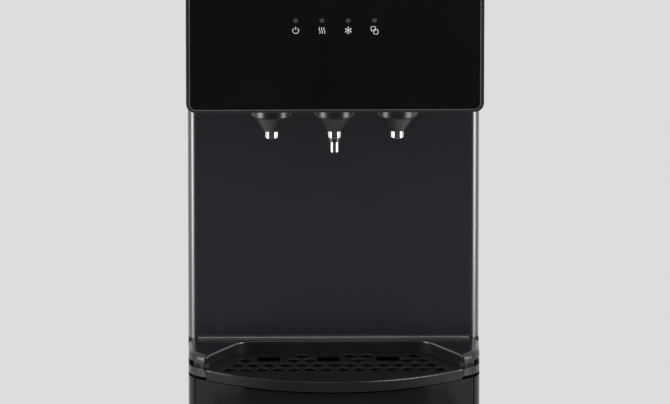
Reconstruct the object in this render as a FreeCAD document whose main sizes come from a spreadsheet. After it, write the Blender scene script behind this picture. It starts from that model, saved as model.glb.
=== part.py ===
import math
import os
import re

import FreeCAD
import Part
import Sketcher

# Bottom load water cooler, in millimetres.
# X points right, the front faces -Y and Z points up.
# The origin lies on the floor under the middle of the whole cooler.

SIZES = [
    # Overall
    ("cabinet_width", 310, "outside of one side panel to outside of the other"),
    ("overall_depth", 364, "drip tray lip to wall spacers"),
    ("overall_height", 1112, "floor to top cover"),
    ("wall_space", 24, "rear panel to wall, kept by the spacers"),
    ("sheet_metal", 1.5, "steel panels"),
    ("plastic_wall", 2.5, "moulded covers"),
    ("fit_gap", 0.3, "between pieces that fit into each other"),
    ("cover_height", 12, "top cover"),
    ("fold_height", 14, "folded sides of the deck and of the tank shelf"),
    # Front, in plan: arcs about one centre
    ("tray_proud", 5, "drip tray lip in front of the shelf"),
    ("front_bow", 73.7, "bow of the front, from its side edges to its middle"),
    ("corner_radius", 25, "upright front corners"),
    # Feet and base
    ("foot_height", 12, "floor to underside of the base pan"),
    ("foot_radius", 17, "pad of a foot"),
    ("foot_inset", 34, "side and rear edge of the cabinet to a foot"),
    ("foot_setback", 86, "drip tray lip to the front pair of feet"),
    ("pan_height", 16, "depth of the base pan"),
    ("pan_setback", 8, "base pan behind the door front"),
    ("pan_rail_inset", 12, "side of the cabinet to the end of a rail in the pan"),
    # Door
    ("door_bottom", 30, "height of the lower edge"),
    ("door_clearance", 3.5, "upper edge of the door to the rail"),
    ("door_setback", 90.5, "drip tray lip to the rear plane of the door"),
    ("door_wall", 3, "outer skin of the door"),
    ("door_thickness", 23, "front of the door to its liner"),
    ("door_edge_radius", 4, "rear edge at the hinge side"),
    ("door_line_inset", 6.5, "side of the door to the fine groove beside it"),
    ("door_line_width", 1.2, "fine groove"),
    ("door_line_depth", 1, "fine groove"),
    ("side_clearance", 2.8, "rear plane of the door to the side panels"),
    ("hinge_inset", 8, "side of the cabinet to the hinge axis"),
    ("hinge_reach", 6.5, "hinge axis in front of the rear plane of the door"),
    ("pin_radius", 3, "hinge pins"),
    ("pin_depth", 12, "hinge pin inside the door"),
    ("boss_wall", 2.5, "boss round a hinge pin"),
    ("boss_floor", 2, "boss beyond the end of a hinge pin"),
    ("liner_inset", 2, "liner narrower than the room behind the door front, each side"),
    ("liner_setback", 1.3, "rear plane of the door to the flanges of the liner"),
    ("liner_room", 6, "liner to the floor and the deck inside the door"),
    ("bracket_reach", 20, "hinge axis to the inner end of its bracket"),
    ("bracket_nose", 9, "hinge axis to the front of its bracket"),
    ("pull_drop", 133, "upper edge of the door to the middle of the finger pull"),
    ("pull_length", 100, "finger pull, along the door edge"),
    ("pull_depth", 14, "finger pull, into the door"),
    ("pull_width", 11, "finger pull, front to back"),
    ("pull_reach", 11.5, "middle of the finger pull in front of the rear plane of the door"),
    ("pull_wall", 2, "cup of the finger pull"),
    ("magnet_drop", 36, "deck to the middle of the magnetic catch"),
    ("magnet_length", 40, "magnetic catch, upright"),
    ("magnet_width", 15, "magnetic catch, side to side"),
    ("magnet_depth", 14, "magnetic catch behind the front of the side panel"),
    # Bottle bay
    ("deck_drop", 48, "top of the shelf to the underside of the deck"),
    ("bay_floor", 10, "depth of the moulded bay floor"),
    ("bottle_dish_margin", 16, "dish that the bottle stands in to the side of the cabinet"),
    ("bottle_dish_depth", 4, "depth of that dish"),
    # Shelf with the drip tray
    ("alcove_height", 282.9, "shelf to the underside of the head"),
    ("shelf_edge", 8.5, "edge strip of the shelf"),
    ("shelf_round", 5.5, "rounding of the upper edge of the strip"),
    ("groove_height", 7, "shadow groove under the edge strip"),
    ("groove_depth", 6, "shadow groove, inwards"),
    ("rail_height", 8.5, "rail under the groove"),
    ("alcove_depth", 116, "drip tray lip to the front of the alcove panel"),
    ("alcove_edge", 10, "rounding of the upright alcove edges"),
    ("alcove_cove", 35, "hollow curve under the head"),
    ("alcove_foot", 4.5, "hollow curve above the shelf"),
    ("recess_gap", 7.8, "alcove panel to the tray recess"),
    ("recess_round", 22, "rear corners of the recess, in plan"),
    ("recess_lip", 2.5, "rounding of the upper edge of the recess"),
    ("recess_rear_margin", 57, "side of the cabinet to the rear corner of the recess"),
    ("recess_mid_margin", 29.3, "side of the cabinet to the side corner of the recess"),
    ("recess_front_margin", 18, "side of the cabinet to the front corner of the recess"),
    ("recess_mid_setback", 69, "drip tray lip to the side corner of the recess"),
    ("recess_front_setback", 51, "drip tray lip to the front corner of the recess"),
    ("basin_rear_margin", 60, "side of the cabinet to the basin well at the back"),
    ("basin_front_margin", 45, "side of the cabinet to the basin well at the front"),
    ("basin_setback", 37, "front of the shelf to the front of the basin well"),
    ("recess_floor", 2, "floor of the recess, over the door"),
    ("tray_wall", 2, "walls of the drip tray"),
    ("tray_floor", 2, "upper floor of the drip tray"),
    ("tray_crescent", 11, "solid crescent behind the front of the lip"),
    ("tray_gap", 0.8, "drip tray to its recess"),
    ("lip_height", 11, "drip tray lip"),
    ("lip_thickness", 3, "drip tray lip"),
    ("rim_drop", 13.5, "shelf top to the rim of the tray"),
    ("grille_drop", 0.4, "rim of the tray to the grille"),
    ("grille_thickness", 2, "drip grille"),
    ("hole_pitch", 17.2, "drip holes, side to side"),
    ("hole_rows", 16.4, "drip hole rows, front to back"),
    ("hole_size", 7.1, "drip hole, centre to corner"),
    ("hole_first_row", 18.8, "alcove panel to the rear row of holes"),
    ("slot_width", 24, "drip slots"),
    ("slot_depth", 19, "drip slots, front to back"),
    ("slot_pitch", 63.2, "drip slots, side to side"),
    ("slot_offset", -6, "middle drip slot, off centre"),
    # Head
    ("head_overhang", 1.75, "head outside the cabinet, each side"),
    ("head_setback", 2, "drip tray lip to the front of the head"),
    ("head_height", 189.1, "head"),
    ("head_depth", 128, "head"),
    ("head_corner", 10, "lower corners of the head"),
    ("frame_border", 3.2, "frame round the front glass"),
    ("frame_bottom", 2.2, "frame under the front glass"),
    ("glass_height", 139.1, "front glass"),
    ("glass_thickness", 3, "front glass"),
    ("glass_corner", 7, "lower corners of the glass"),
    ("button_deck_drop", 44, "slope of the button deck, downwards"),
    ("button_deck_run", 60, "slope of the button deck, forwards"),
    ("lens_radius", 2.4, "indicator lens"),
    ("lens_pitch", 27.6, "indicator lenses"),
    ("lens_drop", 89, "top of the cooler to the indicator lenses"),
    ("board_gap", 4, "head front wall to the indicator board"),
    ("board_thickness", 1.6, "printed circuit boards"),
    ("board_width", 124, "indicator board"),
    ("board_height", 36, "indicator board"),
    ("spacer_radius", 3, "spacers behind the head front"),
    ("button_panel_width", 236, "panel that holds the buttons"),
    ("button_panel_depth", 42, "panel that holds the buttons"),
    ("button_panel_sink", 1.5, "panel into the deck"),
    ("button_width", 46, "button cap"),
    ("button_depth", 26, "button cap"),
    ("button_corner", 8, "corners of a button cap"),
    ("button_pitch", 66.5, "buttons and nozzles"),
    ("button_proud", 3.2, "button cap above its panel"),
    ("button_skirt", 6, "button cap below its panel"),
    ("button_gap", 0.5, "button cap to its panel"),
    ("stem_radius", 2.4, "button stem"),
    ("stem_length", 9, "button stem"),
    ("switch_size", 12, "microswitch"),
    ("switch_height", 8, "microswitch"),
    ("lock_width", 9, "child lock slider"),
    ("lock_depth", 7, "child lock slider"),
    ("lock_travel", 6, "child lock slider"),
    ("lock_place", 33.25, "child lock slider, left of the middle"),
    ("lock_proud", 2, "child lock slider above its panel"),
    ("lock_foot", 3, "foot that holds the slider under its panel"),
    # Nozzles
    ("nozzle_setback", 55, "front of the head to the nozzle axes"),
    ("nozzle_radius", 22, "nozzle skirt"),
    ("nozzle_skirt", 18.4, "upright part of the skirt"),
    ("nozzle_round", 2.5, "rounding of the skirt"),
    ("nozzle_length", 34.7, "skirt and cone together"),
    ("nozzle_end_radius", 9, "lower end of the cone"),
    ("nozzle_bore", 3, "water way"),
    ("nozzle_stub_radius", 5.5, "stub inside the head"),
    ("nozzle_stub", 20, "stub inside the head"),
    ("tip_radius", 7.2, "chrome tip"),
    ("tip_bore", 5, "chrome tip"),
    ("tip_length", 8, "chrome tip below the cone"),
    ("tip_seat", 2.5, "chrome tip inside the cone"),
    ("spout_collar", 4.5, "collar of the middle spout"),
    ("collar_radius", 5.9, "collar of the middle spout"),
    ("spout_length", 11, "tube of the middle spout below its collar"),
    ("spout_radius", 4.4, "tube of the middle spout"),
    ("spout_bore", 3.2, "tube of the middle spout"),
    # Rear
    ("panel_gap", 2, "rear panel to floor pan and top"),
    ("flange_width", 12, "folded edge of the side panels"),
    ("louvre_width", 110, "louvre"),
    ("louvre_height", 5, "louvre"),
    ("louvre_pitch", 12, "louvres"),
    ("louvre_rise", 20, "deck to the lowest louvre"),
    ("louvre_count", 7, "louvres"),
    ("louvre_middle", -15, "middle of the louvres"),
    ("louvre_proud", 4, "louvres outside the rear panel"),
    ("condenser_rise", 120, "deck to the lowest condenser run"),
    ("condenser_drop", 50, "top of the cooler to the highest condenser run"),
    ("condenser_count", 11, "condenser runs"),
    ("condenser_margin", 36, "side of the cabinet to the straight condenser runs"),
    ("condenser_reach", 11.5, "rear panel to the middle of the condenser tube"),
    ("condenser_tube", 2.4, "condenser tube radius"),
    ("wire_radius", 0.8, "condenser wire"),
    ("wire_margin", 9, "end of a straight condenser run to the outermost wire"),
    ("wire_count", 21, "condenser wires on one side"),
    ("wire_end", 12, "outermost condenser run to the end of a wire"),
    ("bracket_height", 22, "condenser bracket"),
    ("bracket_width", 6, "condenser bracket"),
    ("bracket_inset", 3.5, "end of a straight condenser run to the middle of a bracket"),
    # Switch plate, inlet and drain
    ("plate_margin", 39, "side of the cabinet to the middle of the switch plate"),
    ("plate_width", 58, "switch plate"),
    ("plate_rise", 14, "deck to the lower edge of the switch plate"),
    ("plate_height", 92, "switch plate"),
    ("plate_proud", 2.5, "switch plate outside the rear panel"),
    ("plate_edge", 4, "switch plate over the edge of its window"),
    ("rocker_width", 13, "rocker switch cap"),
    ("rocker_height", 21, "rocker switch cap"),
    ("rocker_pitch", 26, "rocker switches"),
    ("rocker_rise", 66, "rocker switches above the plate edge"),
    ("rocker_tilt", 8, "rocker switch, each way"),
    ("rocker_radius", 11, "curve of the rocker cap"),
    ("rocker_sink", 4, "rocker axis inside the rear panel"),
    ("inlet_width", 28, "mains inlet"),
    ("inlet_height", 20, "mains inlet"),
    ("inlet_rise", 26, "mains inlet above the plate edge"),
    ("inlet_depth", 22, "mains inlet"),
    ("drain_margin", 49, "side of the cabinet to the drain"),
    ("drain_rise", 30, "deck to the drain"),
    ("drain_radius", 8, "drain pipe"),
    ("drain_cap_radius", 13, "drain cap"),
    ("drain_cap_length", 12, "drain cap"),
    ("drain_cap_seat", 4, "bottom of the drain cap to its end wall"),
    # Cold side
    ("cold_headroom", 4.5, "foam to the top cover"),
    ("cold_height", 186, "cold tank"),
    ("lid_height", 8, "lid of the cold tank"),
    ("cold_offset", -2, "cold tank axis to the middle of the foam"),
    ("cold_round", 4, "lower edge of the cold tank"),
    ("spigot_length", 16, "spigot on the lid"),
    ("outlet_rise", 24, "underside of the cold tank to its outlet"),
    ("coil_radius", 4, "evaporator tube"),
    ("coil_pitch", 14, "evaporator windings"),
    ("coil_turns", 6, "evaporator windings"),
    ("foam_side", 26, "tank to the side of the foam"),
    ("foam_wall", 20, "foam under and over the tank"),
    ("foam_thickness", 23, "tank to the front and the back of the foam"),
    ("foam_front_space", 16, "back of the head to the foam"),
    ("foam_back_space", 8, "foam to the rear panel"),
    ("foam_corner", 28, "upright foam corners"),
    # Hot side
    ("hot_margin", 67, "side of the cabinet to the hot tank axis"),
    ("hot_setback", 74, "rear panel to the hot tank axis"),
    ("hot_radius", 42, "hot tank"),
    ("hot_rise", 68, "deck to the underside of the hot tank"),
    ("hot_headroom", 50, "hot tank to the shelf above it"),
    ("hot_edge", 6, "slanting edges of the hot tank, outside"),
    ("hot_edge_inside", 7, "slanting edges of the hot tank, inside"),
    ("hot_neck", 12, "neck on the hot tank"),
    ("hot_neck_wall", 1.2, "neck on the hot tank"),
    ("band_rise", 30, "underside of the hot tank to the heater band"),
    ("stand_ring", 3, "ring that the hot tank stands on"),
    ("stand_bore", 14, "side of the hot tank to the opening of the ring"),
    ("stand_leg", 4, "radius of the legs under the ring"),
    ("stand_spread", 6, "side of the hot tank to the axis of a leg"),
    ("jacket_wall", 12, "insulation round the hot tank"),
    ("band_height", 30, "heater band"),
    ("band_wall", 3, "heater band"),
    # Compressor
    ("compressor_margin", 83, "side of the cabinet to the compressor axis"),
    ("compressor_setback", 80, "rear panel to the compressor axis"),
    ("compressor_radius", 54, "compressor shell"),
    ("compressor_height", 132, "compressor shell"),
    ("compressor_plate", 3, "foot plate of the compressor"),
    ("grommet_height", 16, "rubber grommets"),
    ("grommet_radius", 9, "rubber grommets"),
    ("grommet_pitch", 108, "grommets, both ways"),
    ("drier_radius", 9, "filter drier"),
    ("drier_length", 90, "filter drier"),
    ("drier_place", 12, "filter drier, side to side"),
    ("drier_rise", 68, "deck to the lower end of the filter drier"),
    ("drier_cone", 10, "ends of the filter drier"),
    ("drier_end", 3, "ends of the filter drier, radius"),
    ("drier_lead", 14, "ends of the filter drier to the bends of the lines"),
    ("line_radius", 2.4, "refrigerant lines"),
    ("line_edge", 15, "refrigerant lines outside the condenser runs"),
    ("line_drop", 7, "lowest condenser run to the hole for the liquid line"),
    ("line_turn", 16, "height between two bends of a refrigerant line"),
    ("line_hole", 3, "holes for the refrigerant lines, wider than the lines"),
    ("suction_place", 10, "suction line, right of and behind the origin"),
    ("capillary_place", -6, "capillary tube, side to side"),
    # Pump and valves
    ("pump_place", 34, "pump, side to side"),
    ("pump_radius", 20, "pump motor"),
    ("pump_length", 62, "pump motor"),
    ("pump_offset", 4, "pump axis behind the middle between shelf and compressor"),
    ("pump_head", 26, "pump head"),
    ("pump_rise", 3, "pump over the deck"),
    ("port_length", 10, "ports of the pump and the valves"),
    ("hose_radius", 5, "water hose"),
    ("hose_bore", 3.2, "water hose"),
    ("valve_size", 26, "dispensing valve"),
    ("valve_height", 18, "dispensing valve"),
    ("valve_coil_radius", 11, "coil of a dispensing valve"),
    ("valve_coil_height", 28, "coil of a dispensing valve"),
    ("board_box_height", 90, "power board"),
    ("board_box_depth", 90, "power board"),
    ("board_box_drop", 18, "shelf under the cold tank to the power board"),
    ("board_box_back", 35, "power board, middle behind the origin"),
    ("board_box_width", 34, "side panel to the face of the cover"),
    ("board_box_wall", 2, "cover of the power board"),
    ("power_gap", 6, "side panel to the power board"),
    ("power_inset", 4, "edge of the cover to the edge of the power board"),
    ("post_inset", 10, "edge of the cover to its posts"),
    # Probe
    ("probe_margin", 34, "side of the cabinet to the probe axis"),
    ("probe_setback", 37, "rear panel to the probe axis"),
    ("probe_drop", 134, "deck to the top of the probe cap"),
    ("probe_cap_radius", 25, "probe cap"),
    ("probe_cap_height", 28, "probe cap"),
    ("probe_tube_radius", 8, "dip tube"),
    ("probe_tube_bore", 5, "dip tube"),
    ("probe_clearance", 65, "floor to the dip tube"),
    ("probe_socket", 8, "dip tube inside its cap"),
    ("probe_neck_radius", 9, "neck on the probe cap"),
    ("probe_neck", 7, "neck on the probe cap"),
    ("probe_collar", 3, "collar over the neck"),
    ("probe_spigot", 22, "probe cap to the end of its spigot"),
    ("clip_thickness", 4, "probe hanger"),
    ("grommet_offset", 24, "hot tank axis to the deck grommet, side to side"),
    ("grommet_setback", 32, "hot tank axis to the deck grommet, front to back"),
    # Small pieces
    ("screw_radius", 3.6, "screw heads"),
    ("screw_head", 1.8, "screw heads"),
    ("screw_rows", 5, "screws along one edge of the rear panel"),
    ("screw_first", 50, "lowest screw of the rear panel"),
    ("screw_last", 62, "top of the cooler to the highest screw"),
    ("screw_inset", 7, "side of the cabinet to the screws"),
]

# Places and sizes that follow from the list. Depths count from the origin.
DERIVED = {
    "half_width": "cabinet_width / 2",
    "front_radius": "(front_bow ^ 2 + (half_width - corner_radius) ^ 2 - corner_radius ^ 2)"
                    " / (2 * (front_bow - corner_radius))",
    "tray_radius": "front_radius + tray_proud",
    "cabinet_back": "overall_depth / 2 - wall_space",
    "foot_front": "overall_depth / 2 - foot_setback",
    "door_top": "shelf_top - shelf_edge - groove_height - rail_height - door_clearance",
    "door_back": "overall_depth / 2 - door_setback",
    "side_front": "door_back - side_clearance",
    "hinge_forward": "door_back + hinge_reach",
    "pull_height": "door_top - pull_drop",
    "pull_forward": "door_back + pull_reach",
    "magnet_height": "deck_height - magnet_drop",
    "deck_height": "shelf_top - deck_drop",
    "bottle_dish_radius": "half_width - bottle_dish_margin",
    "shelf_top": "head_bottom - alcove_height",
    "alcove_plane": "overall_depth / 2 - alcove_depth",
    "recess_rear_half": "half_width - recess_rear_margin",
    "recess_mid_half": "half_width - recess_mid_margin",
    "recess_front_half": "half_width - recess_front_margin",
    "recess_mid": "overall_depth / 2 - recess_mid_setback",
    "recess_front": "overall_depth / 2 - recess_front_setback",
    "basin_rear_half": "half_width - basin_rear_margin",
    "basin_front_half": "half_width - basin_front_margin",
    "basin_radius": "front_radius - basin_setback",
    "head_width": "cabinet_width + 2 * head_overhang",
    "head_front": "overall_depth / 2 - head_setback",
    "head_back": "head_front - head_depth",
    "head_bottom": "overall_height - head_height",
    "lens_height": "overall_height - lens_drop",
    "nozzle_forward": "head_front - nozzle_setback",
    "louvre_first": "deck_height + louvre_rise",
    "condenser_low": "deck_height + condenser_rise",
    "condenser_pitch": "(overall_height - condenser_drop - condenser_low) / (condenser_count - 1)",
    "condenser_half": "half_width - condenser_margin",
    "condenser_plane": "cabinet_back + condenser_reach",
    "wire_pitch": "2 * (condenser_half - wire_margin) / (wire_count - 1)",
    "bracket_place": "condenser_half - bracket_inset",
    "plate_place": "half_width - plate_margin",
    "plate_low": "deck_height + plate_rise",
    "drain_place": "drain_margin - half_width",
    "drain_height": "deck_height + drain_rise",
    "foam_back": "cabinet_back - foam_back_space",
    "foam_front": "head_back - foam_front_space",
    "foam_half": "cold_radius + foam_side",
    "cold_radius": "(foam_back + foam_front) / 2 - foam_thickness",
    "cold_back": "(foam_back - foam_front) / 2 + cold_offset",
    "tank_shelf_height": "overall_height - cover_height - cold_headroom - sheet_metal"
                         " - 2 * foam_wall - cold_height - lid_height",
    "hot_place": "hot_margin - half_width",
    "hot_back": "cabinet_back - hot_setback",
    "hot_low": "deck_height + hot_rise",
    "hot_height": "tank_shelf_height - hot_low - hot_headroom",
    "compressor_place": "half_width - compressor_margin",
    "compressor_back": "cabinet_back - compressor_setback",
    "compressor_waist": "compressor_radius * 0.93",
    "drier_low": "deck_height + drier_rise",
    "pump_back": "(compressor_back - grommet_pitch / 2 - grommet_radius - alcove_plane"
                 " - recess_gap) / 2 + pump_offset",
    "board_box_low": "tank_shelf_height - board_box_drop - board_box_height",
    "probe_place": "probe_margin - half_width",
    "probe_back": "cabinet_back - probe_setback",
    "probe_top": "deck_height - probe_drop",
    "probe_tube_length": "probe_top - probe_socket - probe_clearance",
    "grommet_place": "hot_place + grommet_offset",
    "grommet_back": "hot_back - grommet_setback",
    "screw_pitch": "(overall_height - screw_first - screw_last) / (screw_rows - 1)",
}
NAME = re.compile(r"\b([a-z][a-z_]+)\b(?!\()")

doc = FreeCAD.newDocument("WaterCooler")
sheet = doc.addObject("Spreadsheet::Sheet", "Sizes")
for row, (alias, value, note) in enumerate(SIZES, start=1):
    sheet.set("A%d" % row, alias)
    sheet.set("B%d" % row, str(value))
    sheet.set("C%d" % row, note)
    sheet.setAlias("B%d" % row, alias)
doc.recompute()

SUBPARTS = []
AXES = {
    "x": FreeCAD.Rotation(FreeCAD.Vector(0, 1, 0), 90),
    "y": FreeCAD.Rotation(FreeCAD.Vector(1, 0, 0), -90),
    "z": FreeCAD.Rotation(),
}


# ---------------------------------------------------------------- helpers

def bound(text):
    """Write the size names in an expression as cells of the sheet."""
    text = str(text)
    while any(name in DERIVED for name in NAME.findall(text)):
        text = NAME.sub(lambda found: "(%s)" % DERIVED.get(found[0], found[0]), text)
    return NAME.sub(r"Sizes.\1", text)


def number(text):
    """The present value of an expression."""
    return float(sheet.evalExpression(bound(text)))


def minus(text):
    return "(-(%s))" % text


def plus(first, second):
    return "((%s) + (%s))" % (first, second)


def less(first, second):
    return "((%s) - (%s))" % (first, second)


def keep(obj, label):
    """Name an object as one sub-part of the cooler."""
    obj.Label = label
    SUBPARTS.append(obj)
    return obj


def place(obj, x="0", y="0", z="0"):
    """Bind an object's position to expressions."""
    for axis, text in zip("xyz", (x, y, z)):
        obj.setExpression("Placement.Base.%s" % axis, bound(text))
    return obj


def tilt(obj, angle):
    """Turn an object about the X axis by an expression in degrees."""
    obj.Placement = FreeCAD.Placement(FreeCAD.Vector(), FreeCAD.Rotation(FreeCAD.Vector(1, 0, 0), 1))
    obj.setExpression("Placement.Rotation.Angle", bound(angle))
    return obj


def box(name, x, y, z):
    """A block between two expressions along each axis."""
    block = doc.addObject("Part::Box", name)
    for side, (low, high) in zip(("Length", "Width", "Height"), (x, y, z)):
        block.setExpression(side, bound(less(high, low)))
    return place(block, x[0], y[0], z[0])


def rod(name, x, y, z, radius, length, axis="z"):
    """A cylinder from a point, along one axis."""
    cylinder = doc.addObject("Part::Cylinder", name)
    cylinder.setExpression("Radius", bound(radius))
    cylinder.setExpression("Height", bound(length))
    cylinder.Placement = FreeCAD.Placement(FreeCAD.Vector(), AXES[axis])
    return place(cylinder, x, y, z)


def fuse(name, *shapes):
    union = doc.addObject("Part::MultiFuse", name)
    union.Shapes = list(shapes)
    return union


def cut(name, base, *tools):
    """Take tools from a base, and make sure that each one bites."""
    tool = tools[0] if len(tools) == 1 else fuse(name + "_tools", *tools)
    result = doc.addObject("Part::Cut", name)
    result.Base = base
    result.Tool = tool
    doc.recompute()
    if result.Shape.Volume > base.Shape.Volume - 0.1:
        raise RuntimeError(name + " cuts nothing")
    return result


def shared(name, first, second):
    """What two shapes have in common."""
    result = doc.addObject("Part::Common", name)
    result.Base = first
    result.Tool = second
    return result


def tube(name, x, y, z, radius, bore, length, axis="z"):
    outer = rod(name + "_outer", x, y, z, radius, length, axis)
    inner = rod(name + "_bore", x, y, z, bore, length, axis)
    return cut(name, outer, inner)


def group(name, shapes):
    """Separate solids in one sub-part."""
    compound = doc.addObject("Part::Compound", name)
    compound.Links = shapes
    return compound


def body(name):
    return doc.addObject("PartDesign::Body", name)


def outline(owner, name, plane, loops, offset):
    """A sketch of closed loops. A corner is (x, y) or, before an arc, (x, y, radius).

    The radius is positive where the loop, drawn clockwise, bulges outwards.
    """
    sketch = owner.newObject("Sketcher::SketchObject", name)
    role = [item for item in owner.Origin.OriginFeatures if item.Role == plane][0]
    sketch.AttachmentSupport = [(role, "")]
    sketch.MapMode = "FlatFace"
    sketch.setExpression("AttachmentOffset.Base.z", bound(offset))
    for loop in loops:
        add_loop(sketch, loop)
    return sketch


def add_loop(sketch, loop):
    """Add one closed loop, whose corners follow the sheet."""
    points = [FreeCAD.Vector(number(corner[0]), number(corner[1]), 0) for corner in loop]
    first = sketch.GeometryCount
    ends = []
    for index, corner in enumerate(loop):
        start, stop = points[index], points[(index + 1) % len(loop)]
        if len(corner) == 2:
            sketch.addGeometry(Part.LineSegment(start, stop), False)
            ends.append((1, 2))
        else:
            sketch.addGeometry(arc_between(start, stop, number(corner[2])), False)
            ends.append((2, 1) if number(corner[2]) > 0 else (1, 2))
    for index, corner in enumerate(loop):
        here, after = first + index, first + (index + 1) % len(loop)
        sketch.addConstraint(Sketcher.Constraint(
            "Coincident", here, ends[index][1], after, ends[after - first][0]))
    for index, corner in enumerate(loop):
        for kind, text in zip(("DistanceX", "DistanceY"), corner[:2]):
            bind(sketch, (kind, -1, 1, first + index, ends[index][0]), text)
        if len(corner) == 3:
            bind(sketch, ("Radius", first + index), "abs(%s)" % corner[2])


def arc_between(start, stop, radius):
    """The short arc from start to stop: clockwise for a positive radius."""
    chord = stop - start
    side = FreeCAD.Vector(chord.y, -chord.x, 0).normalize()
    reach = math.sqrt(max(radius ** 2 - chord.Length ** 2 / 4, 0))
    centre = (start + stop) * 0.5 + side * (reach if radius > 0 else -reach)
    first, last = (stop, start) if radius > 0 else (start, stop)
    circle = Part.Circle(centre, FreeCAD.Vector(0, 0, 1), abs(radius))
    return Part.ArcOfCircle(circle, circle.parameter(first), circle.parameter(last))


def bind(sketch, constraint, text):
    """Add a dimension and tie it to an expression."""
    index = sketch.addConstraint(Sketcher.Constraint(*constraint, number(text)))
    sketch.setExpression("Constraints[%d]" % index, bound(text))


def prism(owner, name, plane, loops, low, high):
    """Pad loops from low to high along the normal axis of a plane."""
    offset = minus(high) if plane == "XZ_Plane" else low
    pad = owner.newObject("PartDesign::Pad", name)
    pad.Profile = outline(owner, name + "_sketch", plane, loops, offset)
    pad.setExpression("Length", bound(less(high, low)))
    doc.recompute()
    return pad


def pocket(owner, name, plane, loops, low, high):
    """Cut loops from low to high along the normal axis of a plane."""
    before = owner.Tip.Shape.Volume
    offset = minus(low) if plane == "XZ_Plane" else high
    hole = owner.newObject("PartDesign::Pocket", name)
    hole.Profile = outline(owner, name + "_sketch", plane, loops, offset)
    hole.setExpression("Length", bound(less(high, low)))
    doc.recompute()
    if hole.Shape.Volume > before - 0.1:
        raise RuntimeError(name + " cuts nothing")
    return hole


def repeat(owner, name, feature, axis, step, count):
    """Repeat a feature along an axis of its own sketch."""
    pattern = owner.newObject("PartDesign::LinearPattern", name)
    pattern.Originals = [feature]
    pattern.Direction = (feature.Profile[0], [axis])
    pattern.setExpression("Length", bound("(%s) * (%s - 1)" % (step, count)))
    pattern.setExpression("Occurrences", bound(count))
    owner.Tip = pattern
    doc.recompute()
    return pattern


def smooth(owner, name, radius, wanted):
    """Round the edges of a body's last feature that pass a test."""
    base = owner.Tip
    names = ["Edge%d" % (index + 1) for index, edge in enumerate(base.Shape.Edges) if wanted(edge)]
    if not names:
        raise RuntimeError(name + " finds no edge")
    fillet = owner.newObject("PartDesign::Fillet", name)
    fillet.Base = (base, names)
    fillet.setExpression("Radius", bound(radius))
    doc.recompute()
    return fillet


def upright(edge, length=0.0):
    """True for a straight upright edge that is longer than length."""
    ends = edge.Vertexes
    if len(ends) < 2 or edge.Curve.TypeId != "Part::GeomLine":
        return False
    run = ends[1].Point - ends[0].Point
    return abs(run.x) < 0.001 and abs(run.y) < 0.001 and abs(run.z) > length


def level(edge, height):
    """True for an edge that lies at a height."""
    return abs(edge.BoundBox.ZMin - height) < 0.01 and abs(edge.BoundBox.ZMax - height) < 0.01


def turned(name, profile):
    """Revolve a closed (radius, height) loop about the body's own Z axis."""
    owner = body(name)
    sketch = outline(owner, name + "_sketch", "XZ_Plane", [profile], "0")
    spin = owner.newObject("PartDesign::Revolution", name + "_turn")
    spin.Profile = sketch
    spin.ReferenceAxis = (sketch, ["V_Axis"])
    spin.Angle = 360
    doc.recompute()
    return owner


def frame_loop(x, y):
    """A rectangle between two expressions each way, drawn clockwise."""
    return [(x[0], y[0]), (x[0], y[1]), (x[1], y[1]), (x[1], y[0])]


def mirrored(half):
    """The two ends of a width about the middle."""
    return (minus(half), half)


def about(middle, width):
    """The two ends of a width about a place."""
    return ("(%s) - (%s) / 2" % (middle, width), "(%s) + (%s) / 2" % (middle, width))


def front_plan(half, radius, corner, back):
    """The bowed front in plan: arcs about one centre, rounded corners and straight sides."""
    reach = "sqrt((%s - %s) ^ 2 - (%s - %s) ^ 2)" % (radius, corner, half, corner)
    side = "%s - %s" % (ARC_CENTRE, reach)
    turn_x = "(%s - %s) * %s / (%s - %s)" % (half, corner, radius, radius, corner)
    turn_y = "%s - %s * %s / (%s - %s)" % (ARC_CENTRE, reach, radius, radius, corner)
    return [
        (minus(half), back), (half, back), (half, side, corner),
        (turn_x, turn_y, radius), (minus(turn_x), turn_y, corner), (minus(half), side)]


def recess_plan(gap, front):
    """The drip tray recess in plan, drawn in by a gap and open to the front."""
    rear_y = "-(alcove_plane + recess_gap + %s)" % gap
    rear = "(recess_rear_half - %s)" % gap
    middle = "(recess_mid_half - %s)" % gap
    wide = "(recess_front_half - %s)" % gap
    return [
        (minus(rear), rear_y), (rear, rear_y), (middle, "-recess_mid"), (wide, "-recess_front"),
        (wide, front), (minus(wide), front), (minus(wide), "-recess_front"),
        (minus(middle), "-recess_mid")]


def basin_plan(gap):
    """The basin well in plan, drawn in by a gap."""
    rear_y = "-(alcove_plane + recess_gap + plastic_wall + %s)" % gap
    front = "(basin_front_half - %s)" % gap
    radius = "(basin_radius - %s)" % gap
    side_y = "%s - sqrt(%s ^ 2 - %s ^ 2)" % (ARC_CENTRE, radius, front)
    return [
        (minus("(basin_rear_half - %s)" % gap), rear_y), ("basin_rear_half - %s" % gap, rear_y),
        (front, side_y, radius), (minus(front), side_y)]


# ---------------------------------------------------------------- places shared by several pieces

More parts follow.
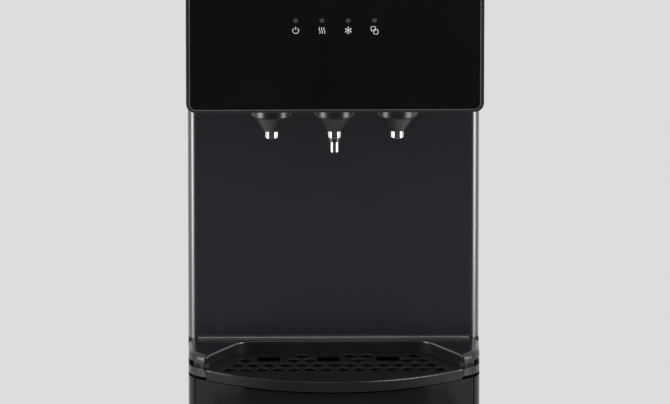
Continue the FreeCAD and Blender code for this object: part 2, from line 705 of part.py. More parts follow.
ARC_CENTRE = "(tray_radius - overall_depth / 2)"
HALF_WIDTH = "(cabinet_width / 2)"
INNER_HALF = "(cabinet_width / 2 - sheet_metal - fit_gap)"
REAR_FACE = "(cabinet_back - sheet_metal)"
PAN_TOP = "(foot_height + pan_height)"
DECK_TOP = "(deck_height + sheet_metal)"
RAIL_BOTTOM = "(shelf_top - shelf_edge - groove_height - rail_height)"
PANEL_TOP = "(overall_height - cover_height)"
RIM_TOP = "(shelf_top - rim_drop)"
GRILLE_TOP = "(shelf_top - rim_drop - grille_drop)"
FLANGE_TOP = "(shelf_top - rim_drop - grille_drop - grille_thickness)"
RECESS_FLOOR = "(shelf_top - shelf_edge - groove_height - rail_height + recess_floor)"
BASIN_FLOOR = "(deck_height + sheet_metal + plastic_wall)"
HINGE_X = "-(cabinet_width / 2 - hinge_inset)"
HINGE_Y = "-hinge_forward"
DECK_ANGLE = "atan(button_deck_drop / button_deck_run)"
DECK_Y = "-(head_front - button_deck_run / 2)"
DECK_Z = "(overall_height - button_deck_drop / 2)"
BUTTONS = [("hot", -1), ("room", 0), ("cold", 1)]
SWITCH_SINK = "(button_skirt + stem_length - 2 + switch_height)"
LINE_HOLE = (("-12", "18"), ("3", "17"))


# ---------------------------------------------------------------- base and cabinet

def make_feet():
    """Four moulded feet, pushed up into the base pan."""
    pads = []
    side = less(HALF_WIDTH, "foot_inset")
    rear = less("cabinet_back", "foot_inset")
    spots = [(minus(side), "-foot_front"), (side, "-foot_front"), (minus(side), rear), (side, rear)]
    for index, (x, y) in enumerate(spots):
        pad = turned("foot_%d" % index, [
            ("0", "0"), ("0", "foot_height"), ("foot_radius * 0.8", "foot_height"),
            ("foot_radius", "foot_height * 0.4"), ("foot_radius", "2"), ("foot_radius - 2", "0")])
        pads.append(place(pad, x, y))
    keep(group("foot_group", pads), "feet")


def make_base_pan():
    """Pressed steel pan, open below."""
    pan = body("pan_body")
    radius = "(front_radius - pan_setback)"
    plan = front_plan(INNER_HALF, radius, "corner_radius", REAR_FACE)
    prism(pan, "pan_block", "XY_Plane", [plan], "foot_height", PAN_TOP)
    inside = front_plan(less(INNER_HALF, "sheet_metal"), less(radius, "sheet_metal"),
                        "(corner_radius - sheet_metal)", less(REAR_FACE, "sheet_metal"))
    pocket(pan, "pan_hollow", "XY_Plane", [inside], "foot_height - 1", less(PAN_TOP, "sheet_metal"))
    keep(fuse("pan_with_rails", pan, *pan_rails()), "base_pan")


def pan_rails():
    """Two steel channels welded across the pan, over the feet."""
    rails = []
    for name, y in (("front", "-foot_front"), ("rear", less("cabinet_back", "foot_inset"))):
        outer = box("rail_%s_outer" % name, mirrored("(cabinet_width / 2 - pan_rail_inset)"),
                    about(y, "foot_radius * 2"), ("foot_height", less(PAN_TOP, "sheet_metal / 2")))
        inner = box("rail_%s_inner" % name, mirrored(HALF_WIDTH),
                    about(y, "(foot_radius - sheet_metal) * 2"),
                    ("foot_height + sheet_metal", PAN_TOP))
        rails.append(cut("rail_%s" % name, outer, inner))
    return rails


def make_side_panel(side, sign):
    """Folded steel side with a step where the dispensing alcove begins."""
    panel = body("side_panel_" + side)
    front_low, front_high = "-side_front", "-(head_back - fit_gap)"
    step = less(RAIL_BOTTOM, "fit_gap")
    loop = [
        (front_low, "foot_height + panel_gap"), (front_low, step), (front_high, step),
        (front_high, PANEL_TOP), (REAR_FACE, PANEL_TOP), (REAR_FACE, "foot_height + panel_gap")]
    edges = (less(HALF_WIDTH, "sheet_metal"), HALF_WIDTH)
    low, high = edges if sign > 0 else (minus(edges[1]), minus(edges[0]))
    prism(panel, "side_sheet_" + side, "YZ_Plane", [loop], low, high)
    fold = (less(HALF_WIDTH, "flange_width"), HALF_WIDTH)
    x = fold if sign > 0 else (minus(fold[1]), minus(fold[0]))
    y = (less(REAR_FACE, "sheet_metal"), REAR_FACE)
    prism(panel, "side_fold_" + side, "XY_Plane", [frame_loop(x, y)],
          plus(PAN_TOP, "sheet_metal"), PANEL_TOP)
    keep(panel, "side_panel_" + side)


def make_rear_panel():
    """Steel back with louvres, a window for the switch plate and a hole for the drain."""
    panel = body("rear_panel")
    y = (REAR_FACE, "cabinet_back")
    low, high = "foot_height + panel_gap", "%s - panel_gap" % PANEL_TOP
    window = frame_loop(about("plate_place", "plate_width - 2 * plate_edge"),
                        ("plate_low + plate_edge", "plate_low + plate_height - plate_edge"))
    drain_size = "drain_radius * 2 + 2"
    drain = frame_loop(about("drain_place", drain_size), about("drain_height", drain_size))
    line_x, line_size = "condenser_half + line_edge", "line_radius * 2 + line_hole"
    lines = [frame_loop(about(minus(line_x), line_size), about("condenser_low", line_size)),
             frame_loop(about(line_x, line_size), about("condenser_low - line_drop", line_size))]
    sheet_loop = frame_loop(mirrored(HALF_WIDTH), (low, high))
    prism(panel, "rear_sheet", "XZ_Plane", [sheet_loop, window, drain] + lines, *y)
    hood_loop = frame_loop(about("louvre_middle", "louvre_width"),
                           ("louvre_first", "louvre_first + louvre_height + sheet_metal"))
    hood = prism(panel, "louvre_hood", "XZ_Plane", [hood_loop],
                 "cabinet_back", "cabinet_back + louvre_proud")
    repeat(panel, "louvre_hoods", hood, "V_Axis", "louvre_pitch", "louvre_count")
    slit_loop = frame_loop(about("louvre_middle", "louvre_width - 2 * sheet_metal"),
                           ("louvre_first - 0.1", "louvre_first + louvre_height"))
    slit = pocket(panel, "louvre_slit", "XZ_Plane", [slit_loop],
                  "%s - 1" % REAR_FACE, "cabinet_back + louvre_proud - sheet_metal")
    repeat(panel, "louvre_slits", slit, "V_Axis", "louvre_pitch", "louvre_count")
    keep(panel, "rear_panel")


def make_top_cover():
    """Moulded lid behind the head."""
    lid = body("top_cover")
    y = ("-(head_back - fit_gap)", "cabinet_back")
    prism(lid, "lid_block", "XY_Plane", [frame_loop(mirrored(HALF_WIDTH), y)],
          PANEL_TOP, "overall_height")
    smooth(lid, "lid_rounding", "3", lambda edge: level(edge, number("overall_height"))
           and abs(edge.BoundBox.YMin - number(y[0])) > 1)
    inside = frame_loop(mirrored(less(HALF_WIDTH, "plastic_wall")),
                        (plus(y[0], "plastic_wall"), less(y[1], "plastic_wall")))
    pocket(lid, "lid_hollow", "XY_Plane", [inside], "%s - 1" % PANEL_TOP,
           "overall_height - plastic_wall")
    keep(lid, "top_cover")


def make_mid_deck():
    """Steel deck between the bottle bay and the machinery."""
    deck = body("mid_deck")
    x, y = mirrored(INNER_HALF), ("-side_front + 1", less(REAR_FACE, "sheet_metal + fit_gap"))
    hole = frame_loop(about("grommet_place", "hose_radius * 2 + 6"),
                      about("grommet_back", "hose_radius * 2 + 6"))
    prism(deck, "deck_sheet", "XY_Plane", [frame_loop(x, y), hole], "deck_height", DECK_TOP)
    prism(deck, "deck_tongue", "XY_Plane", [inside_door_plan()], "deck_height", DECK_TOP)
    add_folds(deck, "deck_fold_", x, y, "deck_height")
    keep(deck, "mid_deck")


def add_folds(owner, name, x, y, height):
    """The folded sides under a steel sheet between two ends each way."""
    for side, ends in (("left", (x[0], plus(x[0], "sheet_metal"))),
                       ("right", (less(x[1], "sheet_metal"), x[1]))):
        prism(owner, name + side, "XY_Plane", [frame_loop(ends, y)],
              "%s - fold_height" % height, height)


def inside_door_plan():
    """The tongue of the floor and the deck that reaches forward inside the door."""
    return front_plan("(cabinet_width / 2 - door_thickness - liner_room)",
                      "(front_radius - door_thickness - liner_room)",
                      "(corner_radius - 15)", "-side_front + 2")


def make_bay_floor():
    """Moulded floor of the bottle bay, with a shallow dish for the bottle."""
    floor = body("bay_floor")
    prism(floor, "floor_front", "XY_Plane", [inside_door_plan()], PAN_TOP, plus(PAN_TOP, "bay_floor"))
    rear = frame_loop(mirrored(INNER_HALF), ("-side_front + 1", less(REAR_FACE, "sheet_metal + fit_gap")))
    prism(floor, "floor_rear", "XY_Plane", [rear], PAN_TOP, plus(PAN_TOP, "bay_floor"))
    round_pocket(floor, "bottle_dish", "0", "8", "bottle_dish_radius",
                 plus(PAN_TOP, "bay_floor - bottle_dish_depth"), plus(PAN_TOP, "bay_floor"))
    keep(floor, "bay_floor")


def round_pocket(owner, name, x, y, radius, low, high):
    """Cut a round pocket into a body from above."""
    before = owner.Tip.Shape.Volume
    sketch = owner.newObject("Sketcher::SketchObject", name + "_sketch")
    role = [item for item in owner.Origin.OriginFeatures if item.Role == "XY_Plane"][0]
    sketch.AttachmentSupport = [(role, "")]
    sketch.MapMode = "FlatFace"
    sketch.setExpression("AttachmentOffset.Base.z", bound(high))
    centre = FreeCAD.Vector(number(x), number(y), 0)
    sketch.addGeometry(Part.Circle(centre, FreeCAD.Vector(0, 0, 1), number(radius)), False)
    bind(sketch, ("DistanceX", -1, 1, 0, 3), x)
    bind(sketch, ("DistanceY", -1, 1, 0, 3), y)
    bind(sketch, ("Radius", 0), radius)
    hole = owner.newObject("PartDesign::Pocket", name)
    hole.Profile = sketch
    hole.setExpression("Length", bound(less(high, low)))
    doc.recompute()
    if hole.Shape.Volume > before - 0.1:
        raise RuntimeError(name + " cuts nothing")


# ---------------------------------------------------------------- door

def make_door():
    """Bowed outer skin and moulded liner, with hinge pin holes and a finger pull."""
    skin = body("door_skin")
    plan = front_plan(HALF_WIDTH, "front_radius", "corner_radius", "-door_back")
    prism(skin, "skin_block", "XY_Plane", [plan], "door_bottom", "door_top")
    hinge_edge = -number(HALF_WIDTH)
    smooth(skin, "skin_edge", "door_edge_radius", lambda edge: upright(edge)
           and abs(edge.BoundBox.XMin - hinge_edge) < 0.01
           and abs(edge.BoundBox.YMin + number("door_back")) < 0.01)
    inside = front_plan(less(HALF_WIDTH, "door_wall"), less("front_radius", "door_wall"),
                        less("corner_radius", "door_wall"), "-door_back + 1")
    pocket(skin, "skin_hollow", "XY_Plane", [inside], "door_bottom + door_wall", "door_top - door_wall")
    half, radius, side_y = liner_inside()
    opening = [(minus(half), "-door_back + 1"), (half, "-door_back + 1"), (half, side_y, radius),
               (minus(half), side_y)]
    pocket(skin, "skin_opening", "XY_Plane", [opening], "door_bottom - 1", "door_top + 1")
    bosses, holes = pin_bosses()
    window = box("pull_window", (less(HALF_WIDTH, "door_wall + 1"), plus(HALF_WIDTH, "1")),
                 about("-pull_forward", "pull_width"), about("pull_height", "pull_length"))
    bossed = fuse("door_skin_bosses", skin, *bosses)
    keep(cut("door_skin_holes", bossed, window, *holes, *door_lines()), "door_panel")
    make_door_liner()
    make_door_fittings()


def pin_bosses():
    """The bosses that take the hinge pins, and the holes in them."""
    boss = ("pin_radius + boss_wall", "pin_depth - door_wall + boss_floor")
    hole = ("pin_radius + fit_gap", "pin_depth + 1.5")
    bosses = [
        rod("pin_boss_low", HINGE_X, HINGE_Y, "door_bottom + door_wall", *boss),
        rod("pin_boss_high", HINGE_X, HINGE_Y, "door_top - pin_depth - boss_floor", *boss)]
    holes = [
        rod("pin_hole_low", HINGE_X, HINGE_Y, "door_bottom - 1", *hole),
        rod("pin_hole_high", HINGE_X, HINGE_Y, "door_top - pin_depth - 0.5", *hole)]
    return bosses, holes


def door_lines():
    """The two fine upright grooves at the sides of the door front."""
    corner_y = ("(%s - sqrt((front_radius - corner_radius) ^ 2"
                " - (half_width - corner_radius) ^ 2))" % ARC_CENTRE)
    line_y = "(%s - sqrt(corner_radius ^ 2 - (corner_radius - door_line_inset) ^ 2))" % corner_y
    lines = []
    for side, sign in (("left", -1), ("right", 1)):
        x = about("(half_width - door_line_inset) * (%d)" % sign, "door_line_width")
        lines.append(box("door_line_" + side, x, ("-overall_depth / 2", plus(line_y, "door_line_depth")),
                         ("door_bottom - 1", "door_top + 1")))
    return lines


def liner_inside():
    """The room inside the liner: half width, radius of the bow and where they meet."""
    half = "(cabinet_width / 2 - door_thickness - liner_inset - plastic_wall)"
    radius = "(front_radius - door_thickness - plastic_wall)"
    return half, radius, "(%s - sqrt(%s ^ 2 - %s ^ 2))" % (ARC_CENTRE, radius, half)


def make_door_liner():
    """Bowed inner wall between two flanges."""
    liner = body("liner_body")
    outer = "(front_radius - door_thickness)"
    wide = "(cabinet_width / 2 - door_thickness - liner_inset)"
    narrow, inner, inner_y = liner_inside()
    edge = less(HALF_WIDTH, "door_wall + fit_gap")
    rear, front = "-(door_back + liner_setback)", "-(door_back + liner_setback + plastic_wall)"
    outer_y = "(%s - sqrt(%s ^ 2 - %s ^ 2))" % (ARC_CENTRE, outer, wide)
    hinge_side = plus(HINGE_X, "pin_radius + 2.8")
    loop = [
        (hinge_side, front), (hinge_side, rear), (minus(narrow), rear),
        (minus(narrow), inner_y, minus(inner)), (narrow, inner_y), (narrow, rear),
        (edge, rear), (edge, front), (wide, front), (wide, outer_y, outer),
        (minus(wide), outer_y), (minus(wide), front)]
    prism(liner, "liner_sheet", "XY_Plane", [loop], "door_bottom + door_wall + fit_gap",
          "door_top - door_wall - fit_gap")
    smooth(liner, "liner_round", "1.2", lambda item: upright(item)
           and abs(abs(item.BoundBox.XMin) - number(narrow)) < 0.01
           and abs(item.BoundBox.YMin - number(rear)) < 0.01)
    keep(liner, "door_liner")


def make_door_fittings():
    """Hinge brackets with their pins, finger pull, magnetic catch and its strike."""
    bracket_x = (minus(less(HALF_WIDTH, "sheet_metal + fit_gap")), plus(HINGE_X, "bracket_reach"))
    bracket_y = ("-(hinge_forward + bracket_nose)", "-(side_front + 0.5)")
    low = box("bracket_low", bracket_x, bracket_y, (PAN_TOP, plus(PAN_TOP, "sheet_metal")))
    high = box("bracket_high", bracket_x, bracket_y, (less(RAIL_BOTTOM, "sheet_metal"), RAIL_BOTTOM))
    pins = [
        rod("pin_low", HINGE_X, HINGE_Y, plus(PAN_TOP, "sheet_metal"), "pin_radius",
            less("door_bottom + pin_depth", plus(PAN_TOP, "sheet_metal"))),
        rod("pin_high", HINGE_X, HINGE_Y, "door_top - pin_depth", "pin_radius",
            less(less(RAIL_BOTTOM, "sheet_metal"), "(door_top - pin_depth)"))]
    keep(group("hinge_group", [fuse("hinge_low", low, pins[0]), fuse("hinge_high", high, pins[1])]),
         "hinge_brackets")
    cup_x = (less(HALF_WIDTH, "pull_depth + pull_wall"), HALF_WIDTH)
    block = box("pull_outer", cup_x, about("-pull_forward", "pull_width + 2 * pull_wall"),
                about("pull_height", "pull_length + 2 * pull_wall"))
    room = body("pull_room")
    margin = "(door_wall + 0.1)"
    plan = front_plan(less(HALF_WIDTH, margin), less("front_radius", margin),
                      less("corner_radius", margin), "-door_back")
    prism(room, "pull_room_block", "XY_Plane", [plan],
          "pull_height - pull_length", "pull_height + pull_length")
    cup = shared("pull_cup_block", block, room)
    well = box("pull_inner", (less(HALF_WIDTH, "pull_depth"), HALF_WIDTH),
               about("-pull_forward", "pull_width"), about("pull_height", "pull_length"))
    keep(cut("pull_cup", cup, well), "door_finger_pull")
    catch_x = (less(HALF_WIDTH, "sheet_metal + fit_gap + magnet_width"),
               less(HALF_WIDTH, "sheet_metal + fit_gap"))
    catch_z = about("magnet_height", "magnet_length")
    catch = box("catch_block", catch_x, ("-(door_back - 0.5)", "-(side_front - magnet_depth)"), catch_z)
    keep(catch, "door_magnet")
    strike = box("strike_plate", (catch_x[0], less(catch_x[1], "3")),
                 ("-(door_back + liner_setback)", "-door_back"), catch_z)
    keep(strike, "door_strike")


# ---------------------------------------------------------------- shelf, tray and grille

def make_front_shelf():
    """Moulded shelf: edge strip, shadow groove, rail, tray recess and basin well."""
    shelf = body("front_shelf")
    plan = front_plan(HALF_WIDTH, "front_radius", "corner_radius", "-alcove_plane")
    prism(shelf, "shelf_slab", "XY_Plane", [plan], RAIL_BOTTOM, "shelf_top")
    smooth(shelf, "shelf_rounding", "shelf_round", lambda edge: level(edge, number("shelf_top"))
           and edge.BoundBox.YMin < -number("alcove_plane") - 1)
    rear = frame_loop(mirrored(HALF_WIDTH), ("-alcove_plane", "-head_back"))
    prism(shelf, "shelf_rear", "XY_Plane", [rear], RAIL_BOTTOM, "shelf_top")
    prism(shelf, "shelf_well", "XY_Plane", [basin_plan("-plastic_wall")], DECK_TOP, RAIL_BOTTOM)
    far = frame_loop(("-cabinet_width", "cabinet_width"), ("-2 * head_front", "-head_back + 5"))
    core = front_plan(less(HALF_WIDTH, "groove_depth"), less("front_radius", "groove_depth"),
                      less("corner_radius", "groove_depth"), "-head_back + 4")
    groove_top = "(shelf_top - shelf_edge)"
    pocket(shelf, "shadow_groove", "XY_Plane", [far, core], less(groove_top, "groove_height"), groove_top)
    pocket(shelf, "tray_recess", "XY_Plane", [recess_plan("0", "-2 * head_front")],
           RECESS_FLOOR, "shelf_top")
    smooth(shelf, "recess_corners", "recess_round", rear_corner("0"))
    smooth(shelf, "recess_rounding", "recess_lip", lambda edge: level(edge, number("shelf_top"))
           and edge.BoundBox.YMax < -number("alcove_plane") - 1
           and abs(edge.BoundBox.XMax) < number("recess_mid_half") + 0.01
           and abs(edge.BoundBox.XMin) < number("recess_mid_half") + 0.01)
    pocket(shelf, "basin_well", "XY_Plane", [basin_plan("0")], BASIN_FLOOR, plus(RECESS_FLOOR, "1"))
    keep(shelf, "front_shelf")


def rear_corner(gap):
    """A test for the upright edges in the rear corners of the recess, drawn in by a gap."""
    x = number("recess_rear_half - %s" % gap)
    y = -number("alcove_plane + recess_gap + %s" % gap)
    return lambda edge: (upright(edge) and abs(abs(edge.BoundBox.XMin) - x) < 0.01
                         and abs(edge.BoundBox.YMin - y) < 0.01)


def lip_arc(radius, gap):
    """Where an arc of the tray front meets the side of the recess."""
    wide = "(recess_front_half - %s)" % gap
    return wide, "(%s - sqrt(%s ^ 2 - %s ^ 2))" % (ARC_CENTRE, radius, wide)


def tray_plan(gap, radius):
    """The recess in plan with a bowed front."""
    wide, front_y = lip_arc(radius, gap)
    rear_y = "-(alcove_plane + recess_gap + %s)" % gap
    rear = "(recess_rear_half - %s)" % gap
    middle = "(recess_mid_half - %s)" % gap
    return [
        (minus(rear), rear_y), (rear, rear_y), (middle, "-recess_mid"), (wide, "-recess_front"),
        (wide, front_y, radius), (minus(wide), front_y), (minus(wide), "-recess_front"),
        (minus(middle), "-recess_mid")]


def make_drip_tray():
    """Stepped basin with a bowed front lip."""
    tray = body("drip_tray")
    floor = plus(RECESS_FLOOR, "fit_gap")
    prism(tray, "tray_pan", "XY_Plane", [tray_plan("tray_gap", "(tray_radius - 1)")], floor, FLANGE_TOP)
    smooth(tray, "tray_corners", "recess_round - tray_gap", rear_corner("tray_gap"))
    well_floor = plus(BASIN_FLOOR, "fit_gap")
    prism(tray, "tray_well", "XY_Plane", [basin_plan("tray_gap")], well_floor, floor)
    wide, lip_y = lip_arc("tray_radius", "tray_gap")
    inner_radius = "(tray_radius - lip_thickness)"
    rim_y = lip_arc(inner_radius, "tray_gap")[1]
    lip = [(wide, lip_y, "tray_radius"), (minus(wide), lip_y),
           (minus(wide), rim_y, minus(inner_radius)), (wide, rim_y)]
    prism(tray, "tray_lip", "XY_Plane", [lip], "%s - lip_height" % RIM_TOP, RIM_TOP)
    gap = "(tray_gap + tray_wall)"
    radius = "(tray_radius - tray_crescent)"
    corner_x = "((recess_front_half + recess_mid_half) / 2 - %s)" % gap
    corner_y = "(%s - sqrt(%s ^ 2 - %s ^ 2))" % (ARC_CENTRE, radius, corner_x)
    walls = tray_plan(gap, radius)
    hollow = walls[:3] + [(corner_x, corner_y, radius), (minus(corner_x), corner_y)] + walls[-1:]
    pocket(tray, "tray_hollow", "XY_Plane", [hollow], plus(floor, "tray_floor"), FLANGE_TOP)
    smooth(tray, "hollow_corners", "recess_round - %s" % gap, rear_corner(gap))
    pocket(tray, "well_hollow", "XY_Plane", [basin_plan(gap)], plus(well_floor, "tray_wall"),
           plus(floor, "tray_floor + 0.5"))
    smooth(tray, "lip_edge", "1", lambda edge: level(edge, number(RIM_TOP))
           and edge.Length > 200 and edge.BoundBox.YMin < -number("overall_depth / 2") + 1)
    keep(tray, "drip_tray")


def make_drip_grille():
    """Plate with staggered six-sided holes and three slots, smooth towards the lip."""
    plate = body("grille_plate")
    radius = "(tray_radius - lip_thickness - fit_gap)"
    gap = "(tray_gap + fit_gap)"
    prism(plate, "grille_sheet", "XY_Plane", [tray_plan(gap, radius)], FLANGE_TOP, GRILLE_TOP)
    smooth(plate, "grille_corners", "recess_round - %s" % gap, rear_corner(gap))
    height = ("%s - 1" % FLANGE_TOP, "%s + 1" % GRILLE_TOP)
    slot_y = about("-(alcove_plane + hole_first_row + hole_rows / 2 + 1.5)", "slot_depth")
    tools = [box("grille_slot_%d" % index, about("slot_offset + slot_pitch * (%d)" % index, "slot_width"),
                 slot_y, height) for index in (-1, 0, 1)]
    for row in range(4):
        tools += grille_row(row, height)
    keep(cut("grille_cut", plate, group("grille_tools", tools)), "drip_grille")


def grille_row(row, height):
    """One row of holes, left out where a slot or the edge of the plate lies."""
    y = "-(alcove_plane + hole_first_row + hole_rows * %d)" % row
    pitch, size = number("hole_pitch"), number("hole_size")
    depth = number("hole_first_row + hole_rows * %d - recess_gap" % row)
    slope = number("(recess_mid_half - recess_rear_half) / (recess_mid - alcove_plane - recess_gap)")
    edge = min(number("recess_rear_half") + slope * depth, number("recess_mid_half")) - size - 2.5
    shift = 0 if row % 2 == 0 else 0.5
    holes = []
    for step in range(-8, 8):
        x = (step + shift) * pitch
        if abs(x) > edge or (row < 2 and beside_slot(x, size)):
            continue
        hole = doc.addObject("Part::Prism", "grille_hole_%d_%d" % (row, step + 8))
        hole.Polygon = 6
        hole.setExpression("Circumradius", bound("hole_size"))
        hole.setExpression("Height", bound(less(height[1], height[0])))
        hole.Placement.Rotation = FreeCAD.Rotation(FreeCAD.Vector(0, 0, 1), 30)
        holes.append(place(hole, "hole_pitch * (%s)" % (step + shift), y, height[0]))
    return holes


def beside_slot(x, size):
    """True where a hole would run into one of the slots."""
    reach = number("slot_width / 2") + size - 0.5
    middles = [number("slot_offset + slot_pitch * (%d)" % index) for index in (-1, 0, 1)]
    return any(abs(x - middle) < reach for middle in middles)


# ---------------------------------------------------------------- alcove and head

def make_alcove_panel():
    """Moulded back of the dispensing alcove, with rounded edges and two hollow curves."""
    panel = body("alcove_panel")
    back, plane = "-head_back", "-alcove_plane"
    turn = "-(alcove_plane - alcove_edge)"
    inner_edge = "(alcove_edge - plastic_wall)"
    inner_plane = "-(alcove_plane - plastic_wall)"
    wide, thin = HALF_WIDTH, less(HALF_WIDTH, "plastic_wall")
    bend = less(HALF_WIDTH, "alcove_edge")
    loop = [
        (minus(wide), back), (minus(thin), back), (minus(thin), turn, minus(inner_edge)),
        (minus(bend), inner_plane), (bend, inner_plane, minus(inner_edge)), (thin, turn),
        (thin, back), (wide, back), (wide, turn, "alcove_edge"), (bend, plane),
        (minus(bend), plane, "alcove_edge"), (minus(wide), turn)]
    prism(panel, "panel_sheet", "XY_Plane", [loop], "shelf_top", "head_bottom")
    cove = [(plane, "head_bottom - alcove_cove", "-alcove_cove"),
            ("-(alcove_plane + alcove_cove)", "head_bottom"), (plane, "head_bottom")]
    prism(panel, "panel_cove", "YZ_Plane", [cove], minus(bend), bend)
    foot = [("-(alcove_plane + alcove_foot)", "shelf_top", "-alcove_foot"),
            (plane, "shelf_top + alcove_foot"), (plane, "shelf_top")]
    prism(panel, "panel_foot", "YZ_Plane", [foot], minus(bend), bend)
    keep(panel, "alcove_panel")


def glass_loop(gap):
    """The front glass, with rounded lower corners."""
    half = "(head_width / 2 - frame_border - %s)" % gap
    low = "(head_bottom + frame_bottom + %s)" % gap
    high = "(head_bottom + frame_bottom + glass_height - %s)" % gap
    corner = "glass_corner"
    return [(minus(half), high), (half, high), (half, plus(low, corner), corner),
            (less(half, corner), low), (minus(less(half, corner)), low, corner),
            (minus(half), plus(low, corner))]


def deck_cutter():
    """The recess for the button panel and the openings under it."""
    cutter = body("deck_cutter")
    panel = frame_loop(about("0", "button_panel_width + 2 * fit_gap"),
                       about("0", "button_panel_depth + 2 * fit_gap"))
    prism(cutter, "deck_recess", "XY_Plane", [panel], "-button_panel_sink", "5")
    for name, step in BUTTONS:
        hole = frame_loop(about("button_pitch * (%d)" % step, "button_width + 4"),
                          about("0", "button_depth + 4"))
        prism(cutter, "deck_hole_" + name, "XY_Plane", [hole], "-12", "5")
    slide = frame_loop(about("-lock_place", "lock_width + lock_travel + 4"), about("0", "lock_depth + 7"))
    prism(cutter, "deck_slide", "XY_Plane", [slide], "-12", "5")
    tilt(cutter, DECK_ANGLE)
    return place(cutter, "0", DECK_Y, DECK_Z)


def make_head_shell():
    """Moulded head: front frame, sloping button deck and open back."""
    shell = body("head_shell_body")
    half = "(head_width / 2)"
    deck_z = "(overall_height - button_deck_drop)"
    deck_y = "(-(head_front - button_deck_run))"
    side = [("-head_front", "head_bottom"), ("-head_front", deck_z), (deck_y, "overall_height"),
            ("-head_back", "overall_height"), ("-head_back", "head_bottom")]
    prism(shell, "head_block", "YZ_Plane", [side], minus(half), half)
    smooth(shell, "head_corners", "head_corner", lambda edge: level(edge, number("head_bottom"))
           and edge.BoundBox.XLength < 0.01)
    pocket(shell, "glass_recess", "XZ_Plane", [glass_loop("0")], "-head_front - 1",
           "-(head_front - glass_thickness)")
    wall = "(-(head_front - glass_thickness - plastic_wall))"
    slope = "(button_deck_drop / button_deck_run)"
    low_z = ("(%s + (%s + head_front) * %s - plastic_wall * sqrt(1 + %s ^ 2))"
             % (deck_z, wall, slope, slope))
    top = "(overall_height - plastic_wall)"
    top_y = "(%s + (%s - %s) / %s)" % (wall, top, low_z, slope)
    hollow = [(wall, "head_bottom + plastic_wall"), (wall, low_z), (top_y, top),
              ("-head_back + 1", top), ("-head_back + 1", "head_bottom + plastic_wall")]
    inner = less(half, "plastic_wall")
    pocket(shell, "head_hollow", "YZ_Plane", [hollow], minus(inner), inner)
    cove = frame_loop(("-(alcove_plane + alcove_cove)", "-head_back + 1"),
                      ("head_bottom - 1", "head_bottom + plastic_wall + 1"))
    pocket(shell, "cove_relief", "YZ_Plane", [cove], minus(inner), inner)
    tools = [deck_cutter()]
    for name, step in BUTTONS:
        tools.append(rod("stub_hole_" + name, "button_pitch * (%d)" % step, "-nozzle_forward",
                         "head_bottom - 1", "nozzle_stub_radius + fit_gap", "plastic_wall + 2"))
    tools += lens_rods("shell_hole", "lens_radius + fit_gap", "-head_front - 1",
                       "glass_thickness + plastic_wall + 2")
    posts = board_posts(wall) + switch_posts()
    keep(fuse("head_with_posts", cut("head_cut", shell, *tools), *posts), "head_shell")


def lens_rods(name, radius, start, length):
    """Four rods through the front, one at each indicator."""
    return [rod("%s_%d" % (name, index), "lens_pitch * (%s)" % (index - 1.5), start, "lens_height",
                radius, length, "y") for index in range(4)]


def board_posts(wall):
    """Spacers that carry the indicator board."""
    posts = []
    for side in (-1, 1):
        for rise in (-1, 1):
            posts.append(rod("board_post_%d_%d" % (side + 1, rise + 1),
                             "(board_width / 2 - 6) * (%d)" % side, wall,
                             "lens_height + (board_height / 2 - 6) * (%d)" % rise,
                             "spacer_radius", "board_gap", "y"))
    return posts


def switch_posts():
    """Spacers that carry the switch board under the button deck."""
    posts = []
    for side in (-1, 1):
        post = rod("switch_post_%d" % (side + 1), "0", "0", "0", "spacer_radius", "1")
        post.setExpression("Height", bound(less(SWITCH_SINK, "plastic_wall")))
        posts.append(on_deck(post, "(button_panel_width / 2 - 12) * (%d)" % side, SWITCH_SINK))
    return posts


def make_front_glass():
    """Front glass with the indicator lenses and their board."""
    glass = body("glass_body")
    prism(glass, "glass_sheet", "XZ_Plane", [glass_loop("fit_gap")], "-head_front",
          "-(head_front - glass_thickness)")
    holes = lens_rods("glass_hole", "lens_radius + 0.1", "-head_front - 1", "glass_thickness + 2")
    keep(cut("glass_cut", glass, *holes), "front_glass")
    board_y = "-(head_front - glass_thickness - plastic_wall - board_gap)"
    lenses = lens_rods("lens", "lens_radius", "-head_front", less(board_y, "(-head_front)"))
    keep(group("lens_group", lenses), "indicator_lenses")
    board = box("board_sheet", mirrored("board_width / 2"), (board_y, plus(board_y, "board_thickness")),
                about("lens_height", "board_height"))
    plug = box("board_plug", mirrored("9"), (plus(board_y, "board_thickness"),
               plus(board_y, "board_thickness + 6")), about("lens_height - 10", "7"))
    keep(fuse("board_with_plug", board, plug), "indicator_board")


def on_deck(obj, x, sink="0"):
    """Place a piece on the sloping deck, x along it and sunk below its surface."""
    tilt(obj, DECK_ANGLE)
    return place(obj, x, "%s + (%s) * sin(%s)" % (DECK_Y, sink, DECK_ANGLE),
                 "%s - (%s) * cos(%s)" % (DECK_Z, sink, DECK_ANGLE))


def rounded_loop(x, y, corner):
    """A rectangle with rounded corners, drawn clockwise."""
    return [(x[0], less(y[1], corner), corner), (plus(x[0], corner), y[1]),
            (less(x[1], corner), y[1], corner), (x[1], less(y[1], corner)),
            (x[1], plus(y[0], corner), corner), (less(x[1], corner), y[0]),
            (plus(x[0], corner), y[0], corner), (x[0], plus(y[0], corner))]


